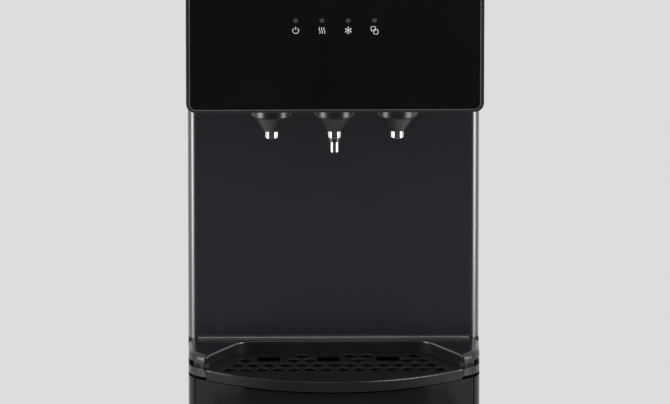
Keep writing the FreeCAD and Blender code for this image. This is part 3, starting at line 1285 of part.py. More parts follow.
def make_buttons():
    """Button panel, three caps with stems, child lock slider and the switch board."""
    panel = body("panel_with_holes")
    loops = [rounded_loop(about("0", "button_panel_width"), about("0", "button_panel_depth"), "3")]
    for name, step in BUTTONS:
        loops.append(rounded_loop(about("button_pitch * (%d)" % step, "button_width + 2 * button_gap"),
                                  about("0", "button_depth + 2 * button_gap"), "button_corner"))
    loops.append(frame_loop(about("-lock_place", "lock_width + lock_travel + 2 * button_gap"),
                            about("0", "lock_depth + 2 * button_gap")))
    prism(panel, "button_panel_sheet", "XY_Plane", loops, "-button_panel_sink", "0.8")
    keep(on_deck(panel, "0"), "button_panel")
    switches = []
    for name, step in BUTTONS:
        cap = body("button_%s_body" % name)
        loop = rounded_loop(about("0", "button_width"), about("0", "button_depth"), "button_corner")
        prism(cap, "cap_" + name, "XY_Plane", [loop], "-button_skirt", "button_proud")
        smooth(cap, "cap_crown_" + name, "1.8", lambda edge: level(edge, number("button_proud")))
        stem = frame_loop(mirrored("stem_radius"), mirrored("stem_radius"))
        prism(cap, "cap_stem_" + name, "XY_Plane", [stem], "-(button_skirt + stem_length)", "-button_skirt")
        keep(on_deck(cap, "button_pitch * (%d)" % step), "button_" + name)
        outer = box("switch_outer_" + name, mirrored("switch_size / 2"), mirrored("switch_size / 2"),
                    ("0", "switch_height"))
        hole = mirrored("stem_radius + 0.4")
        inner = box("switch_hole_" + name, hole, hole, ("switch_height - 6", "switch_height + 1"))
        shape = cut("switch_" + name, outer, inner)
        switches.append(on_deck(shape, "button_pitch * (%d)" % step, SWITCH_SINK))
    plate = body("switch_board_body")
    plate_loop = frame_loop(mirrored("button_panel_width / 2 - 6"), mirrored("14"))
    prism(plate, "switch_board_pad", "XY_Plane", [plate_loop], "-board_thickness", "0")
    board = on_deck(plate, "0", SWITCH_SINK)
    keep(fuse("switch_board_fused", board, *switches), "switch_board")
    make_child_lock()


def make_child_lock():
    """Slider beside the hot button, held by a foot under the panel."""
    lock = body("lock_body")
    knob = frame_loop(about("0", "lock_width"), about("0", "lock_depth"))
    prism(lock, "lock_knob", "XY_Plane", [knob], "-button_panel_sink - 0.4", "lock_proud + 0.8")
    foot = frame_loop(about("0", "lock_width + 2"), about("0", "lock_depth + 4"))
    prism(lock, "lock_foot_pad", "XY_Plane", [foot], "-button_panel_sink - 0.4 - lock_foot",
          "-button_panel_sink - 0.3")
    keep(on_deck(lock, "-lock_place - lock_travel / 2"), "child_lock")


# ---------------------------------------------------------------- nozzles and valves

def make_nozzles():
    """Three nozzles under the head, each with a chrome tip, and the spout of the middle one."""
    horns, tips = [], []
    for name, step in BUTTONS:
        x, y = "button_pitch * (%d)" % step, "-nozzle_forward"
        end = "(head_bottom - nozzle_length)"
        waist = "(nozzle_length - nozzle_skirt)"
        horn = turned("nozzle_%s_body" % name, [
            ("nozzle_bore", "tip_seat"), ("nozzle_bore", "nozzle_length + nozzle_stub"),
            ("nozzle_stub_radius", "nozzle_length + nozzle_stub"), ("nozzle_stub_radius", "nozzle_length"),
            ("nozzle_radius", "nozzle_length"), ("nozzle_radius", waist + " + nozzle_round", "nozzle_round"),
            ("nozzle_radius - nozzle_round", waist), ("nozzle_end_radius", "0"),
            ("tip_radius + 0.05", "0"), ("tip_radius + 0.05", "tip_seat")])
        horns.append(place(horn, x, y, end))
        tip = turned("tip_%s_body" % name, [
            ("tip_bore", "0"), ("tip_bore", "tip_length + tip_seat - 0.1"),
            ("tip_radius", "tip_length + tip_seat - 0.1"), ("tip_radius", "1", "1"),
            ("tip_radius - 1", "0")])
        tips.append(place(tip, x, y, less(end, "tip_length")))
    spout_top = "(tip_length + tip_seat)"
    spout_end = "(-spout_collar - spout_length)"
    spout = turned("spout_body", [
        ("spout_bore", spout_end), ("spout_bore", spout_top), ("tip_bore - 0.1", spout_top),
        ("tip_bore - 0.1", "0"), ("spout_radius", "0"), ("spout_radius", spout_end)])
    tip_end = "head_bottom - nozzle_length - tip_length"
    tips.append(place(spout, "0", "-nozzle_forward", tip_end))
    collar = turned("collar_body", [
        ("spout_radius + 0.05", "-spout_collar"), ("spout_radius + 0.05", "0"), ("collar_radius", "0"),
        ("collar_radius", "1 - spout_collar"), ("collar_radius - 1", "-spout_collar")])
    horns.append(place(collar, "0", "-nozzle_forward", tip_end))
    keep(group("horn_group", horns), "nozzles")
    keep(group("tip_group", tips), "nozzle_tips")


def make_valves():
    """A solenoid valve on the stub of each nozzle."""
    low = "(head_bottom + nozzle_stub + 0.1)"
    valves = []
    for name, step in BUTTONS:
        x = "(button_pitch * (%d))" % step
        block = box("valve_block_" + name, about(x, "valve_size"), about("-nozzle_forward", "valve_size"),
                    (low, plus(low, "valve_height")))
        coil = rod("valve_coil_" + name, x, "-nozzle_forward", plus(low, "valve_height"),
                   "valve_coil_radius", "valve_coil_height")
        port = rod("valve_port_" + name, x, "-nozzle_forward + valve_size / 2",
                   plus(low, "valve_height / 2"), "hose_bore - 0.1", "port_length", "y")
        valves.append(fuse("valve_%s_fused" % name, block, coil, port))
    keep(group("valve_group", valves), "dispensing_valves")


# ---------------------------------------------------------------- cold and hot water

TANK_SHELF_TOP = "(tank_shelf_height + sheet_metal)"
COLD_LOW = "(tank_shelf_height + sheet_metal + foam_wall)"
COIL_LOW = ("(tank_shelf_height + sheet_metal + foam_wall + cold_height / 2"
            " - coil_pitch * coil_turns / 2)")
FOAM_TOP = "(tank_shelf_height + sheet_metal + 2 * foam_wall + cold_height + lid_height)"


def make_cold_side():
    """Cold tank with its windings in two foam halves, on a steel shelf."""
    tray = body("tank_shelf_body")
    x, y = mirrored(INNER_HALF), ("-foam_front", less(REAR_FACE, "sheet_metal + fit_gap"))
    prism(tray, "tank_shelf_sheet", "XY_Plane", [frame_loop(x, y), frame_loop(*LINE_HOLE)],
          "tank_shelf_height", TANK_SHELF_TOP)
    add_folds(tray, "tank_shelf_fold_", x, y, "tank_shelf_height")
    keep(tray, "tank_shelf")
    can = turned("cold_tank_body", [
        ("0", "0"), ("0", "sheet_metal"), ("cold_radius - sheet_metal", "sheet_metal"),
        ("cold_radius - sheet_metal", "cold_height"), ("cold_radius", "cold_height"),
        ("cold_radius", "cold_round", "cold_round"), ("cold_radius - cold_round", "0")])
    place(can, "0", "cold_back", COLD_LOW)
    lid_z = plus(COLD_LOW, "cold_height")
    lid = rod("lid_disc", "0", "cold_back", lid_z, "cold_radius", "lid_height")
    spigot = rod("lid_spigot", PUMP_RISE_X, "cold_back", plus(lid_z, "lid_height"),
                 "hose_bore - 0.1", "spigot_length")
    keep(group("cold_tank_group", [can, fuse("lid_fused", lid, spigot)]), "cold_tank")
    keep(winding(), "evaporator_coil")
    make_foam(lid_z)


def winding():
    """Evaporator tube wound round the cold tank, as one unbroken tube."""
    wire = number("coil_radius")
    radius, pitch = number("cold_radius + coil_radius + fit_gap"), number("coil_pitch")
    edges = []
    for quarter in range(4 * int(number("coil_turns"))):
        edges += biarc(*[helix_point(radius, pitch, turn / 4) for turn in (quarter, quarter + 1)])
    path = Part.Wire(edges)
    print("least gap between the windings: %.2f mm" % (own_gap(path, pitch) - 2 * wire))
    coil = doc.addObject("Part::Feature", "winding")
    coil.Shape = swept(path, FreeCAD.Vector(radius, 0, 0), helix_point(radius, pitch, 0)[1], wire)
    return place(coil, "0", "cold_back", COIL_LOW)


def helix_point(radius, pitch, turns):
    """A point of a helix about the Z axis, and the direction there."""
    angle = 2 * math.pi * turns
    point = FreeCAD.Vector(radius * math.cos(angle), radius * math.sin(angle), pitch * turns)
    along = FreeCAD.Vector(-radius * math.sin(angle), radius * math.cos(angle), pitch / (2 * math.pi))
    return point, along.normalize()


def biarc(start, end):
    """Two arcs that join two points with given directions."""
    (first, leaving), (last, arriving) = start, end
    chord, both = last - first, leaving + arriving
    bend = 2 * (1 - leaving.dot(arriving))
    reach = (math.sqrt(chord.dot(both) ** 2 + bend * chord.dot(chord)) - chord.dot(both)) / bend
    joint = (first + last + (leaving - arriving) * reach) * 0.5
    return [tangent_arc(first, first + leaving * reach, joint),
            tangent_arc(joint, last - arriving * reach, last)]


def tangent_arc(start, corner, stop):
    """The arc between two points whose tangents meet in a corner."""
    middle = (start + stop) * 0.5
    half = (stop - start).Length / 2
    rise = half * math.tan(math.acos(half / (corner - start).Length) / 2)
    return Part.Arc(start, middle + (corner - middle).normalize() * rise, stop).toShape()


def own_gap(path, pitch):
    """Least distance between points of a path that lie more than two pitches apart along it."""
    points = path.discretize(400)
    step = path.Length / (len(points) - 1)
    apart = int(2 * pitch / step) + 1
    return min((points[low] - points[high]).Length
               for low in range(len(points)) for high in range(low + apart, len(points)))


def make_foam(lid_z):
    """Two foam halves with a cavity for the tank, its windings and the lid."""
    block = body("foam_body")
    loop = rounded_loop(mirrored("foam_half"), ("-foam_front", "foam_back"), "foam_corner")
    prism(block, "foam_block", "XY_Plane", [loop], TANK_SHELF_TOP, FOAM_TOP)
    tools = [
        rod("foam_cavity", "0", "cold_back", COLD_LOW, "cold_radius + fit_gap",
            "cold_height + lid_height + fit_gap"),
        rod("foam_groove", "0", "cold_back", less(COIL_LOW, "coil_radius + 1"),
            "cold_radius + 2 * coil_radius + 3 * fit_gap",
            "coil_pitch * coil_turns + 2 * coil_radius + 2"),
        rod("foam_lid_hole", PUMP_RISE_X, "cold_back", lid_z, "hose_radius + 1", "2 * foam_wall + 20"),
        box("foam_line_hole", *LINE_HOLE, ("tank_shelf_height", plus(COLD_LOW, "-1"))),
        rod("foam_outlet", "button_pitch", "-foam_front - 1", OUTLET_Z, "hose_radius + 1",
            "foam_front + cold_back", "y")]
    hollow = cut("foam_hollow", block, *tools)
    halves = []
    for side, x in (("left", ("-cabinet_width", "-0.1")), ("right", ("0.1", "cabinet_width"))):
        room = box("foam_%s_side" % side, x, ("-cabinet_width", "cabinet_width"),
                   ("tank_shelf_height", "overall_height"))
        halves.append(shared("foam_%s_half" % side, hollow, room))
    keep(group("foam_group", halves), "cold_tank_foam")


def make_hot_side():
    """Hot tank with heater band, insulation, stand and drain."""
    tank = turned("hot_tank_body", [
        ("0", "0"), ("0", "sheet_metal"), ("hot_radius - hot_edge_inside", "sheet_metal"),
        ("hot_radius - sheet_metal", "hot_edge_inside"),
        ("hot_radius - sheet_metal", "hot_height - hot_edge_inside"),
        ("hot_radius - hot_edge_inside", "hot_height - sheet_metal"),
        ("hose_bore", "hot_height - sheet_metal"), ("hose_bore", "hot_height + hot_neck"),
        ("hose_bore + hot_neck_wall", "hot_height + hot_neck"),
        ("hose_bore + hot_neck_wall", "hot_height"), ("hot_radius - hot_edge", "hot_height"),
        ("hot_radius", "hot_height - hot_edge"), ("hot_radius", "hot_edge"),
        ("hot_radius - hot_edge", "0")])
    place(tank, "hot_place", "hot_back", "hot_low")
    band = tube("band", "hot_place", "hot_back", "hot_low + band_rise", "hot_radius + fit_gap + band_wall",
                "hot_radius + fit_gap", "band_height")
    keep(group("hot_tank_group", [tank, band]), "hot_tank")
    bore = "(hot_radius + band_wall + 2 * fit_gap)"
    jacket = turned("jacket_body", [
        (bore, "0"), (bore, "hot_height + fit_gap"), ("hose_bore + 3", "hot_height + fit_gap"),
        ("hose_bore + 3", "hot_height + 6"), (bore + " + jacket_wall - 4", "hot_height + 6"),
        (bore + " + jacket_wall", "hot_height + 2"), (bore + " + jacket_wall", "0")])
    keep(place(jacket, "hot_place", "hot_back", "hot_low"), "hot_tank_jacket")
    ring_low = "hot_low - stand_ring"
    ring = tube("stand_ring_plate", "hot_place", "hot_back", ring_low,
                "hot_radius + band_wall + jacket_wall", "hot_radius - stand_bore", "stand_ring")
    legs = []
    for index in range(3):
        angle = 90 + 120 * index
        legs.append(rod("stand_leg_%d" % index,
                        "hot_place + (hot_radius + stand_spread) * cos(%d)" % angle,
                        "hot_back + (hot_radius + stand_spread) * sin(%d)" % angle,
                        DECK_TOP, "stand_leg", less(ring_low, DECK_TOP)))
    keep(fuse("stand_fused", ring, *legs), "hot_tank_stand")


# ---------------------------------------------------------------- refrigeration

COMPRESSOR_LOW = "(deck_height + sheet_metal + grommet_height)"


def make_compressor():
    """Hermetic compressor on a foot plate with four rubber grommets."""
    radius, height, waist = "compressor_radius", "compressor_height", "compressor_waist"
    dome = turned("compressor_body", [
        ("0", "compressor_plate"), ("0", height), (radius + " * 0.45", height, radius + " * 0.9"),
        (waist, height + " * 0.72"), (waist, height + " * 0.56"), (radius, height + " * 0.54"),
        (radius, height + " * 0.5"), (waist, height + " * 0.48"), (waist, height + " * 0.2"),
        (radius + " * 0.6", "compressor_plate")])
    place(dome, "compressor_place", "compressor_back", COMPRESSOR_LOW)
    plate_size = "grommet_pitch + 2 * grommet_radius"
    plate = box("foot_plate", about("compressor_place", plate_size), about("compressor_back", plate_size),
                (COMPRESSOR_LOW, plus(COMPRESSOR_LOW, "compressor_plate")))
    terminal = box("terminal_box", about("compressor_place", "34"),
                   ("compressor_back - compressor_radius - 12", "compressor_back - compressor_radius * 0.7"),
                   (plus(COMPRESSOR_LOW, "50"), plus(COMPRESSOR_LOW, "92")))
    keep(fuse("compressor_fused", dome, plate, terminal), "compressor")
    grommets = []
    for side in (-1, 1):
        for depth in (-1, 1):
            grommet = turned("grommet_%d_%d" % (side + 1, depth + 1), [
                ("0", "0"), ("0", "grommet_height"), ("grommet_radius", "grommet_height"),
                ("grommet_radius", "grommet_height * 0.62"), ("grommet_radius - 2", "grommet_height * 0.5"),
                ("grommet_radius", "grommet_height * 0.38"), ("grommet_radius", "0")])
            grommets.append(place(grommet, "compressor_place + grommet_pitch / 2 * (%d)" % side,
                                  "compressor_back + grommet_pitch / 2 * (%d)" % depth, DECK_TOP))
    keep(group("grommet_group", grommets), "compressor_grommets")
    make_refrigerant_lines()


def make_refrigerant_lines():
    """Filter drier and the lines between compressor, condenser and evaporator."""
    drier_y = less(REAR_FACE, "drier_radius + fit_gap")
    drier = turned("drier_body", [
        ("0", "0"), ("0", "drier_length"), ("drier_end", "drier_length"),
        ("drier_radius", "drier_length - drier_cone"), ("drier_radius", "drier_cone"),
        ("drier_end", "0")])
    place(drier, "drier_place", drier_y, "drier_low")
    wall_y = less(REAR_FACE, "line_radius + 5")
    shell_x = "(compressor_place - compressor_waist - 0.2)"
    between_x = "((%s + hot_place + hot_radius + band_wall + jacket_wall) / 2)" % shell_x
    low_z = plus(COMPRESSOR_LOW, "compressor_height * 0.36")
    edge = "(condenser_half + line_edge)"
    discharge = [
        (shell_x, "compressor_back", low_z), (between_x, "compressor_back", low_z),
        (between_x, wall_y, "hot_low - line_turn"), (minus(edge), wall_y, "hot_low - line_turn"),
        (minus(edge), wall_y, "condenser_low"), (minus(edge), "condenser_plane", "condenser_low"),
        ("-condenser_half - 0.2", "condenser_plane", "condenser_low")]
    outside_y = "(cabinet_back + line_radius + 3)"
    high_z = "(condenser_low + condenser_pitch * (condenser_count - 1))"
    hole_z = "(condenser_low - line_drop)"
    lead_z = "(drier_low + drier_length + drier_lead)"
    liquid = [
        ("condenser_half + 0.2", "condenser_plane", high_z), (edge, "condenser_plane", high_z),
        (edge, outside_y, less(high_z, "line_turn")), (edge, outside_y, hole_z), (edge, wall_y, hole_z),
        (edge, wall_y, lead_z), ("drier_place", drier_y, lead_z),
        ("drier_place", drier_y, "drier_low + drier_length + 0.1")]
    suction_z = plus(COMPRESSOR_LOW, "compressor_height * 0.62")
    heading = "atan((compressor_back - suction_place) / (compressor_place - suction_place))"
    foam_z = plus(TANK_SHELF_TOP, "foam_wall - 2")
    suction = [
        ("suction_place", "suction_place", foam_z), ("suction_place", "suction_place", suction_z),
        ("compressor_place - (compressor_waist + fit_gap) * cos(%s)" % heading,
         "compressor_back - (compressor_waist + fit_gap) * sin(%s)" % heading, suction_z)]
    capillary = [
        ("drier_place", drier_y, "drier_low - 0.1"), ("drier_place", drier_y, "drier_low - drier_lead"),
        ("capillary_place", "suction_place", "drier_low - drier_lead"),
        ("capillary_place", "suction_place", foam_z)]
    lines = [piped("line_discharge", discharge, "line_radius", 6.5),
             piped("line_liquid", liquid, "line_radius", 6.5),
             piped("line_suction", suction, "line_radius", 12),
             piped("line_capillary", capillary, "line_radius / 2", 6)]
    keep(group("line_group", [drier] + lines), "refrigerant_lines")


def route(points, bend):
    """Straight runs joined by tangent arcs. The bend is one radius, or None for the largest ones."""
    edges = []
    start = points[0]
    for before, corner, after in zip(points, points[1:], points[2:]):
        inward, outward = corner - before, after - corner
        half = inward.getAngle(outward) / 2
        radius = bend or 0.45 * min(inward.Length, outward.Length) / math.tan(half)
        reach = radius * math.tan(half)
        into, out = inward.normalize(), outward.normalize()
        first, last = corner - into * reach, corner + out * reach
        bisector = (out - into).normalize()
        middle = corner + bisector * (radius / math.cos(half) - radius)
        edges.append(Part.LineSegment(start, first).toShape())
        edges.append(Part.Arc(first, middle, last).toShape())
        start = last
    edges.append(Part.LineSegment(start, points[-1]).toShape())
    return Part.Wire(edges)


def piped(name, points, radius, bend=None, bore=None):
    """A round tube along a route of (x, y, z) expressions."""
    path = route([FreeCAD.Vector(*[number(text) for text in point]) for point in points], bend)
    start = path.Edges[0].valueAt(path.Edges[0].FirstParameter)
    tangent = path.Edges[0].tangentAt(path.Edges[0].FirstParameter)
    shape = swept(path, start, tangent, number(radius))
    if bore:
        shape = shape.cut(swept(path, start, tangent, number(bore)))
    pipe = doc.addObject("Part::Feature", name)
    pipe.Shape = shape
    return pipe


def swept(path, start, tangent, radius):
    """A solid pipe along a path, whose volume must be its section times its length."""
    section = Part.Wire(Part.Circle(start, tangent, radius).toShape())
    shape = path.makePipeShell([section], True, False)
    expected = math.pi * radius ** 2 * path.Length
    if abs(shape.Volume / expected - 1) > 0.01:
        raise RuntimeError("a pipe has the wrong volume")
    return shape


def make_condenser():
    """Serpentine tube with a grid of wires on both sides, held off the back by four brackets."""
    points = []
    count = int(number("condenser_count"))
    end = "(condenser_half + condenser_pitch / 2)"
    for index in range(count):
        z = "condenser_low + condenser_pitch * %d" % index
        side = "-" if index % 2 == 0 else ""
        other = "" if index % 2 == 0 else "-"
        points.append((side + end, "condenser_plane", z))
        points.append((other + end, "condenser_plane", z))
    points[0] = ("-condenser_half", "condenser_plane", "condenser_low")
    last_side = "" if count % 2 else "-"
    points[-1] = (last_side + "condenser_half", "condenser_plane",
                  "condenser_low + condenser_pitch * %d" % (count - 1))
    bend = number("condenser_pitch") / 2 * 0.999
    pieces = [piped("condenser_tube_path", points, "condenser_tube", bend)]
    length = "condenser_pitch * (condenser_count - 1) + 2 * wire_end"
    for side in (-1, 1):
        y = "condenser_plane + (condenser_tube + wire_radius + 0.05) * (%d)" % side
        for index in range(int(number("wire_count"))):
            wire = doc.addObject("Part::Prism", "condenser_wire_%d_%d" % (side + 1, index))
            wire.Polygon = 6
            wire.setExpression("Circumradius", bound("wire_radius"))
            wire.setExpression("Height", bound(length))
            pieces.append(place(wire, "wire_pitch * (%d - (wire_count - 1) / 2)" % index, y,
                                "condenser_low - wire_end"))
    keep(group("condenser_group", pieces), "condenser")
    make_condenser_brackets()


def make_condenser_brackets():
    """Moulded wall spacers that grip the condenser tube."""
    brackets = []
    for side in (-1, 1):
        for run in (1, 9):
            x = about("bracket_place * (%d)" % side, "bracket_width")
            z = "condenser_low + condenser_pitch * %d" % run
            name = "bracket_%d_%d" % (side + 1, run)
            arm = box(name + "_arm", x, ("cabinet_back", "overall_depth / 2"), about(z, "bracket_height"))
            hole = rod(name + "_hole", x[0], "condenser_plane", z, "condenser_tube + 0.1",
                       "bracket_width", "x")
            brackets.append(cut(name, arm, hole))
    keep(group("condenser_bracket_group", brackets), "condenser_brackets")


# ---------------------------------------------------------------- rear switches, inlet and drain

def make_rear_fittings():
    """Switch plate with two rockers and the mains inlet, and the drain with its cap."""
    plate = body("switch_plate_body")
    plate_y = ("cabinet_back", "cabinet_back + plate_proud")
    rocker_z = "(plate_low + rocker_rise)"
    inlet_z = "(plate_low + inlet_rise)"
    loops = [rounded_loop(about("plate_place", "plate_width"),
                          ("plate_low", "plate_low + plate_height"), "4"),
             frame_loop(about("plate_place", "inlet_width + 2 * fit_gap"),
                        about(inlet_z, "inlet_height + 2 * fit_gap"))]
    for side in (-1, 1):
        x = "plate_place + rocker_pitch / 2 * (%d)" % side
        loops.append(frame_loop(about(x, "rocker_width + 4"), about(rocker_z, "rocker_height + 5")))
    prism(plate, "switch_plate_sheet", "XZ_Plane", loops, *plate_y)
    keep(plate, "switch_plate")
    housings = [make_rocker(name, "(plate_place + rocker_pitch / 2 * (%d))" % side, rocker_z)
                for name, side in (("heat", -1), ("cool", 1))]
    keep(group("housing_group", housings), "switch_housings")
    make_inlet(inlet_z)
    make_drain()


def make_rocker(name, x, z):
    """A rocker switch: housing with a round seat, and a cap that tips about the X axis."""
    axis_y = "(cabinet_back - rocker_sink)"
    housing = box("housing_outer_" + name, about(x, "rocker_width + 3.4"),
                  (less(axis_y, "rocker_radius + 3"), "cabinet_back + plate_proud"),
                  about(z, "rocker_height + 4.4"))
    width = "rocker_width + 2 * fit_gap"
    seat = rod("housing_seat_" + name, "%s - (%s) / 2" % (x, width), axis_y, z,
               "rocker_radius + fit_gap", width, "x")
    drum = rod("rocker_drum_" + name, "-rocker_width / 2", "0", "0", "rocker_radius", "rocker_width", "x")
    face = box("rocker_face_" + name, mirrored("rocker_width"), ("0", "rocker_radius * 2"),
               mirrored("rocker_height / 2 - 0.5"))
    notch = rod("rocker_notch_" + name, "-rocker_width", "rocker_radius * 2.05", "0",
                "rocker_radius * 1.35", "rocker_width * 2", "x")
    shape = cut("rocker_" + name + "_cut", shared("rocker_cap_" + name, drum, face), notch)
    tilt(shape, "rocker_tilt")
    keep(place(shape, x, axis_y, z), "rocker_" + name)
    return cut("housing_" + name, housing, seat)


def make_inlet(z):
    """Appliance inlet with three flat pins."""
    front = "(cabinet_back + plate_proud)"
    outer = box("inlet_outer", about("plate_place", "inlet_width"), (less(front, "inlet_depth"), front),
                about(z, "inlet_height"))
    flange = box("inlet_flange", about("plate_place", "inlet_width + 6"), (front, plus(front, "1.5")),
                 about(z, "inlet_height + 5"))
    hollow = box("inlet_hollow", about("plate_place", "inlet_width - 4"),
                 (less(front, "inlet_depth - 4"), plus(front, "2")), about(z, "inlet_height - 4"))
    pins = [box("inlet_pin_%d" % index, about("plate_place + 7 * (%d)" % index, "2"),
                (less(front, "inlet_depth - 3"), less(front, "3")),
                about(plus(z, "3" if index == 0 else "-1.5"), "4")) for index in (-1, 0, 1)]
    keep(fuse("inlet_fused", cut("inlet_cut", fuse("inlet_shell", outer, flange), hollow), *pins),
         "mains_inlet")


def make_drain():
    """Drain pipe from the hot tank to a screw cap on the back."""
    bend = number("drain_radius") * 2
    points = [("hot_place", "hot_back", "hot_low - 0.1"), ("hot_place", "hot_back", "drain_height"),
              ("drain_place", "hot_back + 36", "drain_height"),
              ("drain_place", "cabinet_back + 3", "drain_height")]
    pipe = piped("drain_pipe_path", points, "drain_radius - 1", bend, "drain_radius - 2.5")
    keep(pipe, "drain_pipe")
    cap = turned("drain_cap_body", [
        ("0", "drain_cap_seat"), ("0", "drain_cap_length"), ("drain_cap_radius - 1.5", "drain_cap_length"),
        ("drain_cap_radius", "drain_cap_length - 1.5"), ("drain_cap_radius", "0.4"),
        ("drain_radius - 1 + fit_gap", "0.4"), ("drain_radius - 1 + fit_gap", "drain_cap_seat")])
    cap.Placement = FreeCAD.Placement(FreeCAD.Vector(), AXES["y"])
    keep(place(cap, "drain_place", "cabinet_back", "drain_height"), "drain_cap")


# ---------------------------------------------------------------- electronics, pump, probe and hoses

def make_power_board():
    """Power board on spacers at the right side, under a moulded cover."""
    side = less(HALF_WIDTH, "sheet_metal")
    middle_z = "board_box_low + board_box_height / 2"
    sheet_x = (less(side, "power_gap + board_thickness"), less(side, "power_gap"))
    board = box("power_sheet", sheet_x, about("board_box_back", "board_box_depth - 2 * power_inset"),
                about(middle_z, "board_box_height - 2 * power_inset"))
    relay = box("power_relay", (less(sheet_x[0], "15"), sheet_x[0]), about("board_box_back - 20", "20"),
                ("board_box_low + 14", "board_box_low + 42"))
    coil = rod("power_coil", less(sheet_x[0], "18"), "board_box_back + 16", "board_box_low + 34",
               "14", "18", "x")
    posts = []
    for near in (-1, 1):
        for rise in (-1, 1):
            posts.append(rod("power_post_%d_%d" % (near + 1, rise + 1), sheet_x[1],
                             "board_box_back + (board_box_depth / 2 - post_inset) * (%d)" % near,
                             "%s + (board_box_height / 2 - post_inset) * (%d)" % (middle_z, rise),
                             "spacer_radius", "power_gap - fit_gap", "x"))
    keep(fuse("power_fused", board, relay, coil, *posts), "power_board")
    outer = box("cover_outer", (less(side, "board_box_width"), less(side, "fit_gap")),
                about("board_box_back", "board_box_depth"), about(middle_z, "board_box_height"))
    inner = box("cover_inner", (less(side, "board_box_width - board_box_wall"), side),
                about("board_box_back", "board_box_depth - 2 * board_box_wall"),
                about(middle_z, "board_box_height - 2 * board_box_wall"))
    keep(cut("cover_cut", outer, inner), "power_board_cover")


PUMP_RISE_X = "(pump_place - pump_head / 2)"
PUMP_Z = "(deck_height + sheet_metal + pump_radius + pump_rise)"
OUTLET_Z = "(tank_shelf_height + sheet_metal + foam_wall + outlet_rise)"


def make_pump():
    """Water pump: motor, head with two ports, and the cradle under it."""
    motor = rod("pump_motor", "pump_place", "pump_back", PUMP_Z, "pump_radius", "pump_length", "x")
    head = box("pump_head_block", ("pump_place - pump_head", "pump_place"),
               about("pump_back", "pump_radius * 2"), about(PUMP_Z, "pump_radius * 2"))
    inlet = rod("pump_port_in", "pump_place - pump_head - port_length", "pump_back", PUMP_Z,
                "hose_bore - 0.1", "port_length", "x")
    outlet = rod("pump_port_out", PUMP_RISE_X, "pump_back", plus(PUMP_Z, "pump_radius"),
                 "hose_bore - 0.1", "port_length")
    cradle = box("pump_cradle", ("pump_place - pump_head", "pump_place + pump_length"),
                 about("pump_back", "pump_radius"), (DECK_TOP, less(PUMP_Z, "pump_radius - 2")))
    keep(fuse("pump_fused", motor, head, inlet, outlet, cradle), "water_pump")


def make_probe():
    """Probe cap with its dip tube."""
    cap = turned("probe_cap_body", [
        ("probe_tube_radius + 0.1", "-12"), ("probe_tube_radius + 0.1", "-probe_socket"),
        ("0", "-probe_socket"), ("0", "probe_spigot"), ("hose_bore - 0.2", "probe_spigot"),
        ("hose_bore - 0.2", "probe_neck + probe_collar"),
        ("probe_neck_radius + 5", "probe_neck + probe_collar"), ("probe_neck_radius + 5", "probe_neck"),
        ("probe_neck_radius", "probe_neck"), ("probe_neck_radius", "0"), ("probe_cap_radius - 2", "0"),
        ("probe_cap_radius", "-2"), ("probe_cap_radius", "-probe_cap_height"),
        ("probe_cap_radius - 2.5", "-probe_cap_height"), ("probe_cap_radius - 2.5", "-6"),
        ("probe_tube_radius + 4", "-6"), ("probe_tube_radius + 4", "-12")])
    keep(place(cap, "probe_place", "probe_back", "probe_top"), "probe_cap")
    low = "(probe_top - probe_socket - probe_tube_length)"
    pipe = tube("dip_pipe", "probe_place", "probe_back", low, "probe_tube_radius", "probe_tube_bore",
                "probe_tube_length")
    inlets = [rod("dip_hole_%d" % index, "probe_place - probe_cap_radius", "probe_back",
                  "%s + 8 + 9 * %d" % (low, index), "2.5", "2 * probe_cap_radius", "x")
              for index in range(3)]
    keep(cut("dip_pipe_holes", pipe, *inlets), "probe_tube")
    make_hanger()


def make_hanger():
    """Slotted plate that the neck of the probe cap hangs in."""
    left = "-(cabinet_width / 2 - sheet_metal - fit_gap)"
    hang_z = ("probe_top + probe_neck - fit_gap - clip_thickness", "probe_top + probe_neck - fit_gap")
    shelf = body("hanger_body")
    slot = "(probe_neck_radius + fit_gap)"
    right, front = "probe_place + 26", "probe_back - 20"
    back = less(REAR_FACE, "sheet_metal + fit_gap")
    loop = [(left, back), (right, back), (right, front), ("probe_place + %s" % slot, front),
            ("probe_place + %s" % slot, "probe_back + 3.5", "-%s - 0.5" % slot),
            ("probe_place - %s" % slot, "probe_back + 3.5"),
            ("probe_place - %s" % slot, front), (left, front)]
    prism(shelf, "hanger_plate", "XY_Plane", [loop], *hang_z)
    prism(shelf, "hanger_tab", "XY_Plane", [frame_loop((left, right), (less(back, "3"), back))],
          "probe_top - 24", hang_z[0])
    keep(shelf, "probe_hanger")


